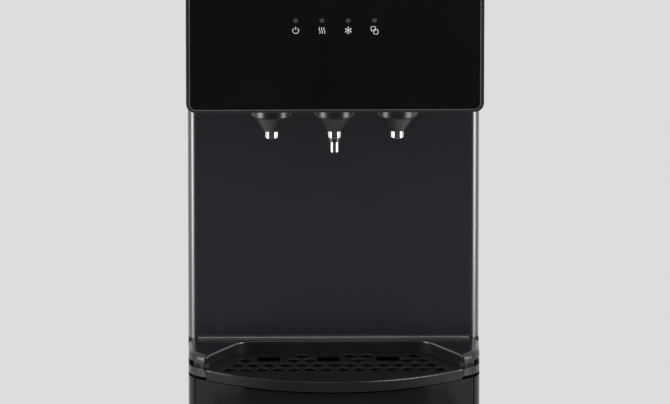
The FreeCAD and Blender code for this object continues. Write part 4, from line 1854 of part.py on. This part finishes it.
def make_hoses():
    """Hoses: probe to deck, deck to pump, pump to tanks and tanks to valves."""
    keep(tube("grommet_ring", "grommet_place", "grommet_back", "deck_height - 3", "hose_radius + 2.8",
              "hose_radius + fit_gap", "sheet_metal + 6"), "deck_grommet")
    z = "(probe_top + probe_neck + probe_collar + fit_gap)"
    probe = [
        ("probe_place", "probe_back", z), ("probe_place", "probe_back", plus(z, "24")),
        ("probe_place + 6", "probe_back - 7", plus(z, "44")),
        ("probe_place + 22", "probe_back - 27", plus(z, "53")),
        ("grommet_place - 16", "grommet_back + 20", "deck_height - 30"),
        ("grommet_place - 2", "grommet_back + 3", "deck_height - 17"),
        ("grommet_place", "grommet_back", "deck_height - 7"),
        ("grommet_place", "grommet_back", DECK_TOP)]
    keep(piped("probe_hose_path", probe, "hose_radius", None, "hose_bore"), "probe_hose")
    port = "(pump_place - pump_head - 0.2)"
    feed = [
        ("grommet_place", "grommet_back", plus(DECK_TOP, "0.2")),
        ("grommet_place", "grommet_back", plus(DECK_TOP, "34")),
        ("grommet_place + 16", "pump_back + 8", plus(DECK_TOP, "34")),
        (less(port, "30"), "pump_back", PUMP_Z), (port, "pump_back", PUMP_Z)]
    rise_y = "(-foam_front - 6.5)"
    over_z = plus(FOAM_TOP, "hose_radius + 1")
    supply = [
        (PUMP_RISE_X, "pump_back", plus(PUMP_Z, "pump_radius + 0.2")),
        (PUMP_RISE_X, "pump_back", plus(PUMP_Z, "pump_radius + 30")),
        (PUMP_RISE_X, rise_y, plus(PUMP_Z, "pump_radius + 70")), (PUMP_RISE_X, rise_y, over_z),
        (PUMP_RISE_X, "cold_back", over_z),
        (PUMP_RISE_X, "cold_back", plus(COLD_LOW, "cold_height + lid_height + 0.2"))]
    valve_z = "(head_bottom + nozzle_stub + 0.1 + valve_height / 2)"
    port_y = "(-nozzle_forward + valve_size / 2 + 0.2)"
    tank_y = "(cold_back - sqrt(cold_radius ^ 2 - (button_pitch - hose_radius) ^ 2) - fit_gap)"
    cold = [("button_pitch", port_y, valve_z), ("button_pitch", "-foam_front - 14", valve_z),
            ("button_pitch", "-foam_front - 14", OUTLET_Z), ("button_pitch", tank_y, OUTLET_Z)]
    hot_top = "(hot_low + hot_height + hot_neck + 0.2)"
    hot = [("-button_pitch", port_y, valve_z), ("-button_pitch", "-foam_front - 12", valve_z),
           ("hot_place - 30", "-foam_front - 12", "hot_low + hot_height + 40"),
           ("hot_place", "hot_back", "hot_low + hot_height + 40"), ("hot_place", "hot_back", hot_top)]
    routes = (("feed", feed, 12), ("supply", supply, 6), ("cold", cold, 8), ("hot", hot, 10))
    hoses = [piped("hose_" + name, points, "hose_radius", bend, "hose_bore")
             for name, points, bend in routes]
    keep(group("hose_group", hoses), "water_hoses")


def make_screws():
    """Pan heads along both edges of the rear panel."""
    heads = []
    for side in (-1, 1):
        for row in range(int(number("screw_rows"))):
            head = turned("screw_%d_%d" % (side + 1, row), [
                ("0", "0"), ("0", "screw_head"), ("screw_radius * 0.55", "screw_head"),
                ("screw_radius", "screw_head * 0.4"), ("screw_radius", "0")])
            head.Placement = FreeCAD.Placement(FreeCAD.Vector(), AXES["y"])
            heads.append(place(head, "(cabinet_width / 2 - screw_inset) * (%d)" % side, "cabinet_back",
                               "screw_first + screw_pitch * %d" % row))
    keep(group("screw_group", heads), "rear_panel_screws")


def main():
    make_feet()
    make_base_pan()
    make_side_panel("left", -1)
    make_side_panel("right", 1)
    make_rear_panel()
    make_top_cover()
    make_mid_deck()
    make_bay_floor()
    make_door()
    make_front_shelf()
    make_drip_tray()
    make_drip_grille()
    make_alcove_panel()
    make_head_shell()
    make_front_glass()
    make_buttons()
    make_nozzles()
    make_valves()
    make_cold_side()
    make_hot_side()
    make_compressor()
    make_condenser()
    make_rear_fittings()
    make_power_board()
    make_pump()
    make_probe()
    make_hoses()
    make_screws()


main()


# ---------------------------------------------------------------- checks and files

def write_parts():
    """Check every object, then write each sub-part."""
    doc.recompute()
    for item in doc.Objects:
        if "Invalid" in item.State or "Error" in item.State:
            raise RuntimeError("%s is %s" % (item.Name, item.State))
    os.makedirs("parts", exist_ok=True)
    for item in SUBPARTS:
        if item.Shape.isNull() or not item.Shape.isValid():
            raise RuntimeError(item.Label + " has no valid shape")
        item.Shape.exportStep("parts/%s.step" % item.Label)


write_parts()
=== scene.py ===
import math
import bmesh
import bpy
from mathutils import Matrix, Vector


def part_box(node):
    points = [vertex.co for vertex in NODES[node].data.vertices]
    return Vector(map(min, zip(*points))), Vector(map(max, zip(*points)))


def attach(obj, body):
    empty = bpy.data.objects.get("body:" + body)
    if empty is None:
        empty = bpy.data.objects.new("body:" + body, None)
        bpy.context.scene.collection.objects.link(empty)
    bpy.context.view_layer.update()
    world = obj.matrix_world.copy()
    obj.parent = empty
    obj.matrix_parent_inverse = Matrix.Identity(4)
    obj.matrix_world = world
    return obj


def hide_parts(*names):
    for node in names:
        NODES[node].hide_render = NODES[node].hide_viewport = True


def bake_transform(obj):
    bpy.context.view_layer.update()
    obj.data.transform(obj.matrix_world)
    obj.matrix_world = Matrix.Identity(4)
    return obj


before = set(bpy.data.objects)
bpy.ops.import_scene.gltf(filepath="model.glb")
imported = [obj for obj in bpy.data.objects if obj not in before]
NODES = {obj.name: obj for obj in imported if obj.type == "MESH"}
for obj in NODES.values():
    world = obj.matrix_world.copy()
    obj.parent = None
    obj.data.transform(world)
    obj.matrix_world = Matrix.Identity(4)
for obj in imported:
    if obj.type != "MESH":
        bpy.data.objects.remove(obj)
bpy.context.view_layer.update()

MM = 0.001
RIGHT, UP = Vector((1, 0, 0)), Vector((0, 0, 1))


def add_object(name, data):
    """Put a mesh or another data block into the scene."""
    obj = bpy.data.objects.new(name, data)
    bpy.context.scene.collection.objects.link(obj)
    return obj


def built(name, mesh):
    """An object made of a finished bmesh."""
    data = bpy.data.meshes.new(name)
    mesh.to_mesh(data)
    mesh.free()
    return add_object(name, data)


# ---------------------------------------------------------------- materials

# The usual range of a noise value, and how many patches of colour and of gloss a metre holds.
NOISE_LOW, NOISE_HIGH = 0.3, 0.7
COLOUR_PATCHES, GLOSS_PATCHES = 14.0, 60.0
RELIEF = 0.4 * MM


def noise(tree, scale, detail=3.0, stretch=(1, 1, 1)):
    """A noise texture in object coordinates, in metres."""
    place = tree.nodes.new("ShaderNodeTexCoord")
    mapping = tree.nodes.new("ShaderNodeMapping")
    mapping.inputs["Scale"].default_value = stretch
    texture = tree.nodes.new("ShaderNodeTexNoise")
    texture.inputs["Scale"].default_value = scale
    texture.inputs["Detail"].default_value = detail
    tree.links.new(place.outputs["Object"], mapping.inputs["Vector"])
    tree.links.new(mapping.outputs["Vector"], texture.inputs["Vector"])
    return texture.outputs["Fac"]


def spread(tree, value, low, high):
    """Map a noise value from its usual range to low..high."""
    node = tree.nodes.new("ShaderNodeMapRange")
    node.inputs["From Min"].default_value = NOISE_LOW
    node.inputs["From Max"].default_value = NOISE_HIGH
    node.inputs["To Min"].default_value = low
    node.inputs["To Max"].default_value = high
    tree.links.new(value, node.inputs["Value"])
    return node.outputs["Result"]


def ramp(tree, value, dark, light):
    """Mix two colours by a noise value."""
    node = tree.nodes.new("ShaderNodeValToRGB")
    node.color_ramp.elements[0].position = NOISE_LOW
    node.color_ramp.elements[1].position = NOISE_HIGH
    node.color_ramp.elements[0].color = (*dark, 1)
    node.color_ramp.elements[1].color = (*light, 1)
    tree.links.new(value, node.inputs["Fac"])
    return node.outputs["Color"]


def material(name, colour, rough, metal=0.0, level=0.5, vary=0.12, rough_vary=0.15, grain=900.0,
             bump=0.03, edge=0.0004, stretch=(1, 1, 1), coat=0.0, coat_rough=0.05):
    """A surface with slight changes of colour and gloss, a fine grain and softened edges."""
    mat = bpy.data.materials.new(name)
    mat.use_nodes = True
    tree = mat.node_tree
    shader = tree.nodes["Principled BSDF"]
    dark = [channel * (1 - vary) for channel in colour]
    light = [min(channel * (1 + vary), 1) for channel in colour]
    patches = noise(tree, COLOUR_PATCHES, 5.0)
    tree.links.new(ramp(tree, patches, dark, light), shader.inputs["Base Color"])
    smears = noise(tree, GLOSS_PATCHES, 4.0, stretch)
    gloss = spread(tree, smears, rough * (1 - rough_vary), min(rough * (1 + rough_vary), 1))
    tree.links.new(gloss, shader.inputs["Roughness"])
    shader.inputs["Metallic"].default_value = metal
    shader.inputs["Specular IOR Level"].default_value = level
    shader.inputs["Coat Weight"].default_value = coat
    shader.inputs["Coat Roughness"].default_value = coat_rough
    relief = tree.nodes.new("ShaderNodeBump")
    relief.inputs["Strength"].default_value = bump
    relief.inputs["Distance"].default_value = RELIEF
    tree.links.new(noise(tree, grain, 2.0, stretch), relief.inputs["Height"])
    if edge:
        bevel = tree.nodes.new("ShaderNodeBevel")
        bevel.samples = 6
        bevel.inputs["Radius"].default_value = edge
        tree.links.new(bevel.outputs["Normal"], relief.inputs["Normal"])
    tree.links.new(relief.outputs["Normal"], shader.inputs["Normal"])
    return mat


SURFACES = {
    "gloss_black": dict(colour=(0.006, 0.006, 0.0065), rough=0.16, level=0.6, grain=500),
    "frame_black": dict(colour=(0.014, 0.014, 0.015), rough=0.2, level=0.6, edge=0.0007),
    "black_glass": dict(colour=(0.003, 0.0026, 0.003), rough=0.04, level=0.25, bump=0.0, grain=200),
    "charcoal": dict(colour=(0.0115, 0.0117, 0.0150), rough=0.22, level=1.0, vary=0.06, bump=0.01,
                     grain=1600, coat=1.0, coat_rough=0.18),
    "shelf_black": dict(colour=(0.009, 0.0092, 0.0112), rough=0.2, level=0.55, vary=0.06, bump=0.01,
                        edge=0.0007),
    "tray_black": dict(colour=(0.008, 0.008, 0.0082), rough=0.2, level=0.7, vary=0.06, bump=0.01,
                       edge=0.0006),
    "grille_black": dict(colour=(0.006, 0.0062, 0.0064), rough=0.32, level=0.25, edge=0.0005),
    # Painted shade: a darker, duller black for the inside of the tray and the walls of its recess, where
    # little light reaches.
    "painted_shade_black": dict(colour=(0.004, 0.004, 0.0043), rough=0.5, level=0.2, edge=0.0),
    "nozzle_black": dict(colour=(0.011, 0.011, 0.013), rough=0.3, level=0.7, bump=0.01, edge=0.0006),
    # Painted highlight: the light grey ribbon along the edge of the front glass.
    "glass_edge_painted_highlight": dict(colour=(0.085, 0.085, 0.09), rough=0.3, bump=0.0, edge=0.0),
    "door_black": dict(colour=(0.0062, 0.0060, 0.0066), rough=0.12, level=0.22, bump=0.01, grain=400),
    "liner_grey": dict(colour=(0.05, 0.05, 0.053), rough=0.5, level=0.4, bump=0.15, grain=1200),
    "steel_black": dict(colour=(0.013, 0.013, 0.0145), rough=0.42, level=0.4, bump=0.22, grain=1500),
    "zinc": dict(colour=(0.55, 0.56, 0.58), rough=0.34, metal=1.0, vary=0.18, grain=500, bump=0.06),
    "stainless": dict(colour=(0.62, 0.62, 0.61), rough=0.25, metal=1.0, vary=0.05, grain=1400, bump=0.1,
                      stretch=(1, 1, 0.05)),
    "chrome": dict(colour=(0.72, 0.73, 0.75), rough=0.07, metal=1.0, vary=0.02, grain=300, bump=0.01,
                   edge=0.0003),
    "copper": dict(colour=(0.72, 0.36, 0.22), rough=0.3, metal=1.0, vary=0.15, grain=600, bump=0.05),
    "condenser_black": dict(colour=(0.014, 0.014, 0.014), rough=0.45, level=0.4, bump=0.2),
    "compressor_black": dict(colour=(0.010, 0.010, 0.011), rough=0.22, level=0.5, bump=0.1),
    "red": dict(colour=(0.42, 0.018, 0.014), rough=0.2, vary=0.06),
    "blue": dict(colour=(0.02, 0.09, 0.42), rough=0.2, vary=0.06),
    "pale_grey": dict(colour=(0.42, 0.42, 0.43), rough=0.22, vary=0.05),
    "green": dict(colour=(0.02, 0.22, 0.07), rough=0.24, vary=0.06),
    "white_plastic": dict(colour=(0.66, 0.66, 0.64), rough=0.36, vary=0.04, bump=0.08),
    "foam": dict(colour=(0.72, 0.7, 0.64), rough=0.85, vary=0.08, bump=0.6, grain=500, edge=0.0),
    "circuit_green": dict(colour=(0.015, 0.11, 0.045), rough=0.32, vary=0.3, grain=300),
    "motor_grey": dict(colour=(0.045, 0.045, 0.048), rough=0.42, bump=0.1),
    "silicone": dict(colour=(0.62, 0.63, 0.61), rough=0.32, vary=0.05, bump=0.04, edge=0.0),
    "rubber": dict(colour=(0.018, 0.018, 0.018), rough=0.75, level=0.3, bump=0.25, grain=700),
    "lens": dict(colour=(0.034, 0.032, 0.034), rough=0.28, level=0.4, vary=0.1, bump=0.02),
    "print_white": dict(colour=(0.8, 0.8, 0.8), rough=0.45, vary=0.02, bump=0.0, edge=0.0),
}
MATERIALS = {name: material(name, **look) for name, look in SURFACES.items()}

FINISH = {
    "gloss_black": ["top_cover", "button_panel", "switch_plate"],
    "nozzle_black": ["nozzles"],
    "frame_black": ["head_shell"],
    "black_glass": ["front_glass"],
    "charcoal": ["alcove_panel", "door_finger_pull", "probe_hanger", "drain_cap"],
    "shelf_black": ["front_shelf"],
    "tray_black": ["drip_tray"],
    "grille_black": ["drip_grille"],
    "door_black": ["door_panel"],
    "liner_grey": ["door_liner", "bay_floor"],
    "steel_black": ["side_panel_left", "side_panel_right", "rear_panel", "base_pan"],
    "zinc": ["mid_deck", "tank_shelf", "hinge_brackets", "door_strike", "hot_tank_stand",
             "rear_panel_screws"],
    "stainless": ["cold_tank", "hot_tank", "probe_tube"],
    "chrome": ["nozzle_tips"],
    "copper": ["refrigerant_lines", "evaporator_coil"],
    "condenser_black": ["condenser"],
    "compressor_black": ["compressor"],
    "red": ["button_hot", "child_lock", "rocker_heat"],
    "blue": ["button_cold"],
    "pale_grey": ["button_room"],
    "green": ["rocker_cool"],
    "white_plastic": ["dispensing_valves", "power_board_cover", "probe_cap"],
    "foam": ["cold_tank_foam", "hot_tank_jacket"],
    "circuit_green": ["switch_board", "indicator_board", "power_board"],
    "motor_grey": ["water_pump", "condenser_brackets", "switch_housings", "mains_inlet", "door_magnet"],
    "silicone": ["water_hoses", "drain_pipe", "probe_hose"],
    "rubber": ["feet", "compressor_grommets", "deck_grommet"],
    "lens": ["indicator_lenses"],
}


def dress(obj, name):
    """Give an object one material."""
    obj.data.materials.clear()
    obj.data.materials.append(MATERIALS[name])


def dress_faces(obj, name, chosen):
    """Give the faces that a test picks by their centre a second material."""
    obj.data.materials.append(MATERIALS[name])
    for face in obj.data.polygons:
        if chosen(obj.matrix_world @ face.center):
            face.material_index = len(obj.data.materials) - 1


for finish, members in FINISH.items():
    for node in members:
        dress(NODES[node], finish)

shelf_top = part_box("front_shelf")[1].z
grille_low, grille_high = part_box("drip_grille")
RECESS_HALF = 139 * MM
RECESS_LIP = 2.6 * MM
TRAY_CRESCENT = 9 * MM


def tray_painted_shade_faces(centre):
    """True for a face of the tray below the grille, behind the front of the tray; these faces get painted
    shade.
    """
    return centre.z < grille_low.z + 0.1 * MM and centre.y > grille_low.y + TRAY_CRESCENT


def recess_painted_shade_faces(centre):
    """True for a face of the walls of the tray recess, below their rounded upper edge; these faces get
    painted shade.
    """
    return (centre.z < shelf_top - RECESS_LIP and abs(centre.x) < RECESS_HALF
            and grille_low.y < centre.y < grille_high.y + 4 * MM)


# The inside of the tray and the walls of the recess get painted shade, a darker and duller black than the
# rest of their parts.
dress_faces(NODES["drip_tray"], "painted_shade_black", tray_painted_shade_faces)
dress_faces(NODES["front_shelf"], "painted_shade_black", recess_painted_shade_faces)


# ---------------------------------------------------------------- printed marks, and a painted highlight on the glass edge

def ribbon(points, width):
    """The pairs of points on the two sides of a line, and whether the line is closed."""
    closed = len(points) > 2 and points[0] == points[-1]
    corners = [Vector(point) for point in (points[:-1] if closed else points)]
    if closed:
        befores, afters = corners[-1:] + corners[:-1], corners[1:] + corners[:1]
    else:
        befores = [2 * corners[0] - corners[1]] + corners[:-1]
        afters = corners[1:] + [2 * corners[-1] - corners[-2]]
    sides = []
    for before, corner, after in zip(befores, corners, afters):
        run = (after - before).normalized()
        normal = Vector((-run.y, run.x)) * width / 2
        sides.append((corner - normal, corner + normal))
    return sides, closed


def mark(name, origin, across, up, strokes, finish, body, width):
    """A flat mark of ribbons in the plane of two directions. Strokes are in millimetres."""
    mesh = bmesh.new()
    for points in strokes:
        sides, closed = ribbon(points, width)
        rungs = [[mesh.verts.new(origin + across * flat.x * MM + up * flat.y * MM) for flat in pair]
                 for pair in sides]
        after = rungs[1:] + rungs[:1] if closed else rungs[1:]
        for low, high in zip(rungs, after):
            mesh.faces.new((low[0], high[0], high[1], low[1]))
    bmesh.ops.recalc_face_normals(mesh, faces=mesh.faces)
    obj = built(name, mesh)
    dress(obj, finish)
    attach(obj, body)


def arc(x, y, radius, start, stop, steps=24):
    """Points on an arc about (x, y), angles in degrees."""
    angles = [math.radians(start + (stop - start) * index / steps) for index in range(steps + 1)]
    return [(x + radius * math.cos(angle), y + radius * math.sin(angle)) for angle in angles]


def ring_strokes(radius=3.4):
    """A closed ring."""
    return [arc(0, 0, radius, 0, 360)]


def power_strokes(radius=3.2, bar_low=0.6, bar_high=4.2):
    """An open ring with an upright bar in its gap."""
    return [arc(0, 0, radius, 125, 415), [(0, bar_low), (0, bar_high)]]


def steam_strokes(spacing=2.5, sway=0.6, tall=7, steps=16):
    """Three upright waves."""
    waves = []
    for middle in (-spacing, 0, spacing):
        waves.append([(middle + sway * math.sin(step / steps * 2 * math.pi), step / steps * tall - tall / 2)
                      for step in range(steps + 1)])
    return waves


def snow_strokes(arm=3.9, fork_place=2.1, barb_out=0.9, barb_side=0.8):
    """Six arms with a fork on each."""
    strokes = []
    for turn in range(6):
        angle = math.radians(60 * turn + 90)
        out = Vector((math.cos(angle), math.sin(angle)))
        side = Vector((-out.y, out.x))
        fork = out * fork_place
        left, right = (fork + out * barb_out + side * barb_side * sign for sign in (1, -1))
        strokes.append([(0, 0), tuple(out * arm)])
        strokes.append([tuple(left), tuple(fork), tuple(right)])
    return strokes


def rounded(x, y, wide, high, corner=0.7, steps=5):
    """A rectangle with rounded corners as one closed line."""
    left, right, low, top = x + corner, x + wide - corner, y + corner, y + high - corner
    return (arc(right, top, corner, 90, 0, steps) + arc(right, low, corner, 0, -90, steps)
            + arc(left, low, corner, -90, -180, steps) + arc(left, top, corner, 180, 90, steps)
            + [(right, y + high)])


def bottle_strokes():
    """Two overlapping rounded bottles."""
    return [rounded(-3.6, -0.6, 4.6, 4.6), rounded(-1.0, -4.0, 4.6, 4.8)]


MARK_GAP = 0.06 * MM
LENS_RADIUS = 2.4 * MM
ICON_DROP = 10.6 * MM
ICON_STROKE = 0.42

glass_low, glass_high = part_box("front_glass")
lens_low, lens_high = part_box("indicator_lenses")
lens_z = (lens_low.z + lens_high.z) / 2
pitch = (lens_high.x - lens_low.x - 2 * LENS_RADIUS) / 3
mark_y = glass_low.y - MARK_GAP
ICONS = (("power", power_strokes()), ("steam", steam_strokes()), ("snow", snow_strokes()),
         ("bottles", bottle_strokes()))
for index, (name, strokes) in enumerate(ICONS):
    middle = Vector(((index - 1.5) * pitch, mark_y, lens_z - ICON_DROP))
    mark("mark_" + name, middle, RIGHT, UP, strokes, "print_white", "cabinet", ICON_STROKE)

# A light ribbon along the edge of the glass: a painted highlight where its bevelled edge catches light. Its
# points are in millimetres from the middle of its lower edge.
EDGE_STROKE = 0.6
EDGE_CORNER = 7
edge_half = (glass_high.x - glass_low.x) / MM / 2 - EDGE_STROKE / 2
edge_top = (glass_high.z - glass_low.z) / MM - EDGE_STROKE
edge_line = ([(-edge_half, edge_top)] + arc(EDGE_CORNER - edge_half, EDGE_CORNER, EDGE_CORNER, 180, 270, 12)
             + arc(edge_half - EDGE_CORNER, EDGE_CORNER, EDGE_CORNER, 270, 360, 12)
             + [(edge_half, edge_top)])
mark("glass_edge_painted_highlight", Vector((0, mark_y, glass_low.z + EDGE_STROKE / 2 * MM)), RIGHT, UP, [edge_line],
     "glass_edge_painted_highlight", "cabinet", EDGE_STROKE)


# ---------------------------------------------------------------- probe hose

def smooth_path(name, route):
    """Points in metres on the smooth curve that follows a route of control points in millimetres."""
    curve = bpy.data.curves.new(name, "CURVE")
    curve.dimensions = "3D"
    curve.resolution_u = 10
    spline = curve.splines.new("NURBS")
    spline.points.add(len(route) - 1)
    for point, place in zip(spline.points, route):
        point.co = (*(value * MM for value in place), 1)
    spline.order_u = 3
    spline.use_endpoint_u = True
    line = bpy.data.objects.new(name, curve)
    sampled = bpy.data.meshes.new_from_object(line)
    path = [vertex.co.copy() for vertex in sampled.vertices]
    bpy.data.objects.remove(line)
    return path


def hose(name, route, diameter, sides=20):
    """A hose along a route, as a mesh tube bent along its curve."""
    path = smooth_path(name + "_line", route)
    mesh = bmesh.new()
    rings = []
    side = Vector((0, 1, 0))
    for index, centre in enumerate(path):
        run = (path[min(index + 1, len(path) - 1)] - path[max(index - 1, 0)]).normalized()
        side = (side - run * side.dot(run)).normalized()
        other = run.cross(side)
        turns = [2 * math.pi * step / sides for step in range(sides)]
        spokes = [side * math.cos(turn) + other * math.sin(turn) for turn in turns]
        rings.append([mesh.verts.new(centre + spoke * diameter / 2) for spoke in spokes])
    for low, high in zip(rings, rings[1:]):
        for step in range(sides):
            after = (step + 1) % sides
            mesh.faces.new((low[step], low[after], high[after], high[step])).smooth = True
    mesh.faces.new(rings[0][::-1])
    mesh.faces.new(rings[-1])
    obj = built(name, mesh)
    dress(obj, "silicone")
    return obj


# From the spigot of the probe cap to the grommet in the deck.
HOSE_ROUTE = [
    (-121, 121, 468.3), (-121, 121, 492.3), (-115, 114, 512.3), (-99, 94, 521.3),
    (-80, 72, 562), (-66, 55, 575), (-64, 52, 585), (-64, 52, 593.5)]
probe_line = hose("probe_line", HOSE_ROUTE, diameter=0.01)
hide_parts("probe_hose")
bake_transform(probe_line)


# ---------------------------------------------------------------- marks on the buttons

# The sloping deck: its drop and run, its middle, and the buttons on it.
DECK_DROP, DECK_RUN = 44, 60
DECK_MIDDLE = Vector((0, -150, 1090)) * MM
BUTTON_PITCH = 66.5 * MM
BUTTON_PROUD = 3.2 * MM
BUTTON_STROKE = 0.6

slope = math.atan2(DECK_DROP, DECK_RUN)
deck_up = Vector((0, math.cos(slope), math.sin(slope)))
deck_out = Vector((0, -math.sin(slope), math.cos(slope)))
BUTTONS = (("hot_button", steam_strokes(), -1), ("room_button", ring_strokes(), 0),
           ("cold_button", snow_strokes(), 1))
for body, strokes, place in BUTTONS:
    middle = DECK_MIDDLE + RIGHT * BUTTON_PITCH * place + deck_out * (BUTTON_PROUD + MARK_GAP)
    mark("mark_" + body, middle, RIGHT, deck_up, strokes, "print_white", body, BUTTON_STROKE)


# ---------------------------------------------------------------- stage, light and camera

BACKGROUND = (0.723, 0.723, 0.723, 1)
FLAG_COLOUR = (0.06, 0.06, 0.065, 1)
FLOOR_RADIUS = 40
SHADOW_NEAR, SHADOW_FAR = 0.45, 1.5


def cleared(block):
    """The empty node tree of a material or a world."""
    block.use_nodes = True
    block.node_tree.nodes.clear()
    return block.node_tree


def surface(tree, share, first, second, output="ShaderNodeOutputMaterial"):
    """Send a mix of two shaders to the output: the first where the share is 0, the second where it is 1."""
    mix = tree.nodes.new("ShaderNodeMixShader")
    tree.links.new(share, mix.inputs["Fac"])
    tree.links.new(first, mix.inputs[1])
    tree.links.new(second, mix.inputs[2])
    tree.links.new(mix.outputs["Shader"], tree.nodes.new(output).inputs["Surface"])


def stage_floor():
    """Round pale floor that keeps a shadow near the cooler and runs into the background."""
    mesh = bmesh.new()
    bmesh.ops.create_circle(mesh, cap_ends=True, segments=96, radius=FLOOR_RADIUS)
    floor = built("stage_floor", mesh)
    mat = bpy.data.materials.new("stage_floor")
    tree = cleared(mat)
    matte = tree.nodes.new("ShaderNodeBsdfDiffuse")
    matte.inputs["Color"].default_value = BACKGROUND
    glow = tree.nodes.new("ShaderNodeEmission")
    glow.inputs["Color"].default_value = BACKGROUND
    place = tree.nodes.new("ShaderNodeNewGeometry")
    length = tree.nodes.new("ShaderNodeVectorMath")
    length.operation = "LENGTH"
    tree.links.new(place.outputs["Position"], length.inputs[0])
    fade = tree.nodes.new("ShaderNodeMapRange")
    fade.interpolation_type = "SMOOTHSTEP"
    fade.inputs["From Min"].default_value = SHADOW_NEAR
    fade.inputs["From Max"].default_value = SHADOW_FAR
    tree.links.new(length.outputs["Value"], fade.inputs["Value"])
    both = tree.nodes.new("ShaderNodeMath")
    both.operation = "MULTIPLY"
    tree.links.new(fade.outputs["Result"], both.inputs[0])
    tree.links.new(seen_rays(tree), both.inputs[1])
    surface(tree, both.outputs[0], matte.outputs["BSDF"], glow.outputs["Emission"])
    floor.data.materials.append(mat)


def seen_rays(tree):
    """1 for camera, glossy and transmission rays."""
    path = tree.nodes.new("ShaderNodeLightPath")
    value = path.outputs["Is Camera Ray"]
    for name in ("Is Glossy Ray", "Is Transmission Ray"):
        most = tree.nodes.new("ShaderNodeMath")
        most.operation = "MAXIMUM"
        tree.links.new(value, most.inputs[0])
        tree.links.new(path.outputs[name], most.inputs[1])
        value = most.outputs[0]
    return value


def stage_world(ambient):
    """Background colour for what is seen, and an even light for the rest."""
    world = bpy.data.worlds.new("studio")
    bpy.context.scene.world = world
    tree = cleared(world)
    lit = tree.nodes.new("ShaderNodeBackground")
    lit.inputs["Color"].default_value = (1, 1, 1, 1)
    lit.inputs["Strength"].default_value = ambient
    seen = tree.nodes.new("ShaderNodeBackground")
    seen.inputs["Color"].default_value = BACKGROUND
    surface(tree, seen_rays(tree), lit.outputs["Background"], seen.outputs["Background"],
            "ShaderNodeOutputWorld")


def softbox(name, azimuth, distance, height, width, tall, power, aim=0.8):
    """An area light that faces the cooler. Azimuth 0 is in front of it, positive to its right."""
    light = bpy.data.lights.new(name, "AREA")
    light.shape = "RECTANGLE"
    light.size = width
    light.size_y = tall
    light.energy = power
    obj = add_object(name, light)
    angle = math.radians(azimuth)
    spot = Vector((distance * math.sin(angle), -distance * math.cos(angle), height))
    obj.location = spot
    obj.rotation_euler = (Vector((0, 0, aim)) - spot).to_track_quat("-Z", "Y").to_euler()
    obj.visible_camera = False


def flag(radius, levels, soft=3.0, steps=24):
    """A dark curved screen in front that only reflections see, as for glossy black goods in a studio.

    Each level is a height and the half angle that the screen spans there. Its sides fade out over
    twice the soft angle.
    """
    mesh = bmesh.new()
    rows = []
    for height, half in levels:
        turns = [(half - soft) * (2 * step / steps - 1) for step in range(steps + 1)]
        angles = [math.radians(turn) for turn in [-half - soft] + turns + [half + soft]]
        rows.append([mesh.verts.new((radius * math.sin(angle), -radius * math.cos(angle), height))
                     for angle in angles])
    columns = len(rows[0])
    for low, high in zip(rows, rows[1:]):
        for index in range(columns - 1):
            mesh.faces.new((low[index], low[index + 1], high[index + 1], high[index]))
    obj = built("flag", mesh)
    cover = obj.data.attributes.new("cover", "FLOAT", "POINT")
    for index, value in enumerate(cover.data):
        value.value = 0.0 if index % columns in (0, columns - 1) else 1.0
    mat = bpy.data.materials.new("flag")
    tree = cleared(mat)
    glow = tree.nodes.new("ShaderNodeEmission")
    glow.inputs["Color"].default_value = FLAG_COLOUR
    share = tree.nodes.new("ShaderNodeAttribute")
    share.attribute_name = "cover"
    clear = tree.nodes.new("ShaderNodeBsdfTransparent")
    surface(tree, share.outputs["Fac"], clear.outputs["BSDF"], glow.outputs["Emission"])
    obj.data.materials.append(mat)
    obj.visible_camera = False
    obj.visible_diffuse = False
    obj.visible_transmission = False
    obj.visible_volume_scatter = False
    obj.visible_shadow = False


def camera(target, distance, elevation, yaw, focal, width):
    """A long lens that looks down and a little to the right. The focal length is in pixels of a width."""
    down, right = math.radians(elevation), math.radians(yaw)
    look = Vector((math.sin(right) * math.cos(down), math.cos(right) * math.cos(down), -math.sin(down)))
    data = bpy.data.cameras.new("camera")
    data.sensor_width = 36
    data.lens = focal * data.sensor_width / width
    data.clip_end = 100
    obj = add_object("camera", data)
    obj.location = target - look * distance
    obj.rotation_euler = look.to_track_quat("-Z", "Y").to_euler()
    bpy.context.scene.camera = obj


stage_floor()
stage_world(ambient=0.25)
for name, azimuth in (("box_left", -63), ("box_right", 63)):
    softbox(name, azimuth, distance=2.2, height=1.2, width=1.1, tall=2.4, power=52)
softbox("box_top", azimuth=0, distance=1.4, height=2.6, width=1.6, tall=1.0, power=24)
# Wide in front of the door, narrower in front of the alcove and the head.
flag(0.6, ((0.002, 64), (0.465, 64), (0.5, 44), (1.7, 44)))
bpy.context.scene.view_settings.view_transform = "Standard"
camera(Vector((0.0010, -0.1, 0.8015)), distance=12.0, elevation=16.24, yaw=0.8, focal=11303, width=670)
